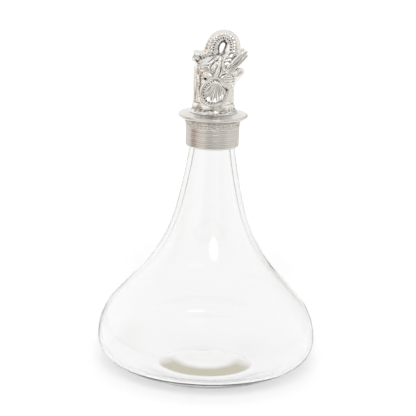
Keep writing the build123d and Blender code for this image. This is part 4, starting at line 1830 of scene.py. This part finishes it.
@dataclass
class Studio:
    """White floor, soft light and the photograph's camera.

    Attributes:
        target: Point that the camera looks at, in metres.
        distance: Distance of the camera from it, in metres.
        elevation: Degrees that the camera stands above it.
        roll: Degrees that the camera is turned, against the bottle's lean.
        lens: Focal length on a 36 mm sensor.
        shift: Shift of the frame, as shares of its width.
        floor_reach: Distance from the floor's middle to its edge, in metres.
        paper: Colour of the floor.
        paper_glow: Light that tops the paper up to white.
        spread: Colour of the even glow painted on the floor where glass shows it.
        glass_glow_share: How much of what glass shows of the floor is that painted glow.
        beyond: What metal mirrors beyond the paper, as shares of a turn and colours.
        beyond_from: Distances between which that begins, in metres.
        band: What metal and glass mirror of the room, as shares of a turn and colours.
        overhead: Colour of the ceiling in reflections.
        overhead_from: Heights of the view between which it begins.
        room_light: Strength of the room in reflections and as soft light.
        suns: Name, place to shine from, strength and spread in degrees of each soft light.
        window_place: Middle of the window, in metres.
        window_size: Half width and half height of the window, in metres.
        window_light: Strength of its middle.
        card_height: Height in millimetres of ray starts under which the window is hidden.
    """

    target: Triple = (0.0, 0.0, 0.12)
    distance: float = 1.2
    elevation: float = 14.5
    roll: float = 1.9
    lens: float = 147.2
    shift: Pair = (-2.07 / PHOTO_WIDTH, -1.6 / PHOTO_WIDTH)
    floor_reach: float = 6.0
    paper: str = "#F4F4F4"
    paper_glow: float = 0.19
    spread: str = "#FDFDFD"
    glass_glow_share: float = 0.85
    beyond: Stops = (
        (0.0, "#C4C1BC"), (0.05, "#B9B5AF"), (0.1, "#D6CEC2"), (0.17, "#D2C6B8"),
        (0.215, "#B0967E"), (0.25, "#8F6B4E"), (0.285, "#B59D88"), (0.31, "#ECE9E4"),
        (0.5, "#F4F2EF"), (0.8, "#E4E0D9"), (0.89, "#DCD8D0"), (0.945, "#B4B1AC"),
        (1.0, "#C4C1BC"),
    )
    beyond_from: Pair = (0.3, 0.6)
    band: Stops = (
        (0.0, "#ACA9A5"), (0.05, "#8F8C88"), (0.09, "#FFFFFF"), (0.18, "#FFFFFF"),
        (0.225, "#D4C9BD"), (0.25, "#BBAA9A"), (0.275, "#D4C9BD"), (0.31, "#FFFFFF"),
        (0.52, "#FFFFFF"), (0.56, "#B5B2AE"), (0.66, "#F4F2EF"), (0.79, "#F4F2EF"),
        (0.88, "#97948F"), (0.93, "#E4E2DF"), (1.0, "#ACA9A5"),
    )
    overhead: str = "#EEEDEB"
    overhead_from: Pair = (0.35, 0.7)
    room_light: Pair = (1.05, 0.22)
    suns: tuple[tuple[str, Triple, float, float], ...] = (
        ("soft_top", (0.0, -0.1, 1.0), 0.6, 40.0),
        ("soft_front", (0.0, -1.35, 1.0), 2.75, 28.0),
    )
    window_place: Triple = (0.3, -1.2, 0.97)
    window_size: Pair = (0.32, 0.24)
    window_light: float = 3.0
    card_height: float = 51.0

    def camera(self) -> None:
        """Creates the camera and makes it the scene's camera."""
        data = bpy.data.cameras.new("photograph")
        data.lens = self.lens
        data.sensor_width = 36.0
        data.shift_x, data.shift_y = self.shift
        data.clip_end = 50.0
        camera = place_object("photograph", data)
        rise = math.radians(self.elevation)
        away = Vector((0, -math.cos(rise), math.sin(rise))) * self.distance
        camera.matrix_world = (
            Matrix.Translation(Vector(self.target) + away)
            @ Matrix.Rotation(math.pi / 2 - rise, 4, "X")
            @ Matrix.Rotation(math.radians(self.roll), 4, "Z")
        )
        bpy.context.scene.camera = camera

    def surround(self, tree: Tree, place: bpy.types.NodeSocket, stops: Stops) -> bpy.types.Node:
        """Adds colours that change round the decanter.

        Args:
            tree: Node tree that gets the nodes.
            place: Socket with the place or direction to colour.
            stops: Shares of a turn and colours, from the front (-Y) by -X, the back and +X.

        Returns:
            The node with the colour.
        """
        parts = add_node(tree, "SeparateXYZ", {0: place}).outputs
        turn = add_node(tree, "Math", {0: parts["X"], 1: parts["Y"]}, operation="ARCTAN2")
        span = {"From Min": -math.pi, "From Max": math.pi}
        share = add_node(tree, "MapRange", {"Value": turn, **span})
        return set_ramp(add_node(tree, "ValToRGB", {"Fac": share}), stops)

    def square(self, name: str, material: bpy.types.Material, reach: float) -> bpy.types.Object:
        """Adds a flat square to the studio.

        Args:
            name: Name of the object.
            material: Its material.
            reach: Distance from its middle to its edges, in metres.

        Returns:
            The object.
        """
        shape = bmesh.new()
        bmesh.ops.create_grid(shape, x_segments=1, y_segments=1, size=reach)
        item = place_object(name, to_data(shape, name))
        item.data.materials.append(material)
        return item

    def floor(self) -> None:
        """Lays the white floor, which keeps the decanter's shadow."""
        material, tree = start_material("white paper sweep")
        path = add_node(tree, "LightPath").outputs
        mirrored, through = path["Is Glossy Ray"], path["Is Transmission Ray"]
        # Plain matt paper, topped up to white where the camera, metal or glass sees it
        seen = path["Is Camera Ray"]
        for ray in (mirrored, through):
            seen = add_node(tree, "Math", {0: seen, 1: ray}, operation="MAXIMUM")
        top_up = add_node(tree, "Math", {0: seen, 1: self.paper_glow}, operation="MULTIPLY")
        paper = add_node(tree, "BsdfDiffuse", {"Color": self.paper})
        glow = add_node(tree, "Emission", {"Strength": top_up})
        white = add_node(tree, "AddShader", {0: paper, 1: glow})
        # Painted light: where glass shows the floor, it mostly glows evenly, in place of the light the
        # thick base spreads under it, so the shadow hardly shows through the glass
        spread = add_node(tree, "Emission", {"Color": self.spread})
        share = add_node(tree, "Math", {0: through, 1: self.glass_glow_share}, operation="MULTIPLY")
        white = add_node(tree, "MixShader", {0: share, 1: white, 2: spread})
        # Metal also mirrors what lies beyond the paper: a brown table on the left, grey elsewhere
        place = add_node(tree, "TexCoord").outputs["Object"]
        beyond = add_node(tree, "Emission", {"Color": self.surround(tree, place, self.beyond)})
        away = add_node(tree, "VectorMath", {0: place}, operation="LENGTH")
        near, far = self.beyond_from
        outside = add_node(tree, "MapRange", {"Value": away, "From Min": near, "From Max": far})
        share = add_node(tree, "Math", {0: outside, 1: mirrored}, operation="MULTIPLY")
        share = add_node(tree, "Math", {0: share, 1: through}, operation="SUBTRACT", use_clamp=True)
        surface = add_node(tree, "MixShader", {0: share, 1: white, 2: beyond})
        add_node(tree, "OutputMaterial", {"Surface": surface})
        floor = self.square("floor", material, self.floor_reach)

    def world(self) -> None:
        """Sets the room: white to the eye and through glass, and softly banded in reflections."""
        world = bpy.data.worlds.new("studio")
        bpy.context.scene.world = world
        world.use_nodes = True
        tree = world.node_tree
        tree.nodes.clear()
        path = add_node(tree, "LightPath").outputs
        rays = {0: path["Is Camera Ray"], 1: path["Is Transmission Ray"]}
        seen = add_node(tree, "Math", rays, operation="MAXIMUM")
        direction = add_node(tree, "TexCoord").outputs["Generated"]
        height = add_node(tree, "SeparateXYZ", {0: direction}).outputs["Z"]
        start, full = self.overhead_from
        span = {"Value": height, "From Min": start, "From Max": full}
        above = add_node(tree, "MapRange", span, interpolation_type="SMOOTHSTEP")
        band = self.surround(tree, direction, self.band)
        tones = {"Factor": above, "A": band, "B": self.overhead}
        lit = add_node(tree, "Mix", tones, data_type="RGBA")
        mirrored, diffuse = self.room_light
        reflected = add_node(tree, "Background", {"Color": lit, "Strength": mirrored})
        soft = add_node(tree, "Background", {"Color": "#FFFFFF", "Strength": diffuse})
        white = add_node(tree, "Background", {"Color": "#FFFFFF", "Strength": 1.0})
        indirect = add_node(tree, "MixShader", {0: path["Is Glossy Ray"], 1: soft, 2: reflected})
        room = add_node(tree, "MixShader", {0: seen, 1: indirect, 2: white})
        add_node(tree, "OutputWorld", {"Surface": room})

    def lamps(self) -> None:
        """Hangs the broad soft lights, which neither metal nor glass shows."""
        for name, place, strength, spread in self.suns:
            data = bpy.data.lights.new(name, "SUN")
            data.energy = strength
            data.angle = math.radians(spread)
            lamp = place_object(name, data)
            lamp.rotation_euler = (-Vector(place)).to_track_quat("-Z", "Y").to_euler()
            lamp.visible_glossy = False
            lamp.visible_transmission = False

    def window(self) -> None:
        """Hangs the window that the glass mirrors, brightest in its middle."""
        material, tree = start_material("daylight through a window")
        # A net curtain lets most light through its middle, so the mirrored bar has soft edges
        place = add_node(tree, "TexCoord").outputs["Object"]
        gradient = add_node(tree, "TexGradient", {"Vector": place}, gradient_type="SPHERICAL")
        span = {"Value": gradient.outputs["Fac"], "From Max": 0.6, "To Max": self.window_light}
        strength = add_node(tree, "MapRange", span, interpolation_type="SMOOTHSTEP")
        # It is hidden from rays that start under a set height, so the lower shoulder does not mirror it
        # a second time
        length = add_node(tree, "LightPath").outputs["Ray Length"]
        spot = add_node(tree, "NewGeometry").outputs
        way = {0: spot["Incoming"], "Scale": length}
        back = add_node(tree, "VectorMath", way, operation="SCALE")
        origin = add_node(tree, "VectorMath", {0: spot["Position"], 1: back}, operation="ADD")
        height = add_node(tree, "SeparateXYZ", {0: origin}).outputs["Z"]
        card = self.card_height * MM
        over = add_node(tree, "Math", {0: height, 1: card}, operation="GREATER_THAN")
        lit = add_node(tree, "Math", {0: strength, 1: over}, operation="MULTIPLY")
        glow = add_node(tree, "Emission", {"Strength": lit})
        pane = add_node(tree, "AddShader", {0: glow, 1: add_node(tree, "BsdfTransparent")})
        add_node(tree, "OutputMaterial", {"Surface": pane})
        window = self.square("window", material, 1.0)
        window.location = self.window_place
        towards = Vector(self.target) - window.location
        window.rotation_euler = towards.to_track_quat("-Z", "Y").to_euler()
        window.scale = (*self.window_size, 1.0)
        window.visible_camera = False

    def build(self) -> None:
        """Sets up camera, floor, world, lamps and window, and the plain view transform."""
        self.camera()
        self.floor()
        self.world()
        self.lamps()
        self.window()
        bpy.context.scene.view_settings.view_transform = "Standard"


def main() -> None:
    """Builds the decanter in order."""
    logging.basicConfig(level=logging.INFO, format="%(name)s: %(message)s")
    Studio().build()
    Bottle().build()
    Collar().build()
    Brim().build()
    Figure().build()
    for side in Side:
        Ear(side).build()
        Tusk(side).build()
    Fittings().dress(frame["nodes"])


if __name__ == "__main__":
    main()
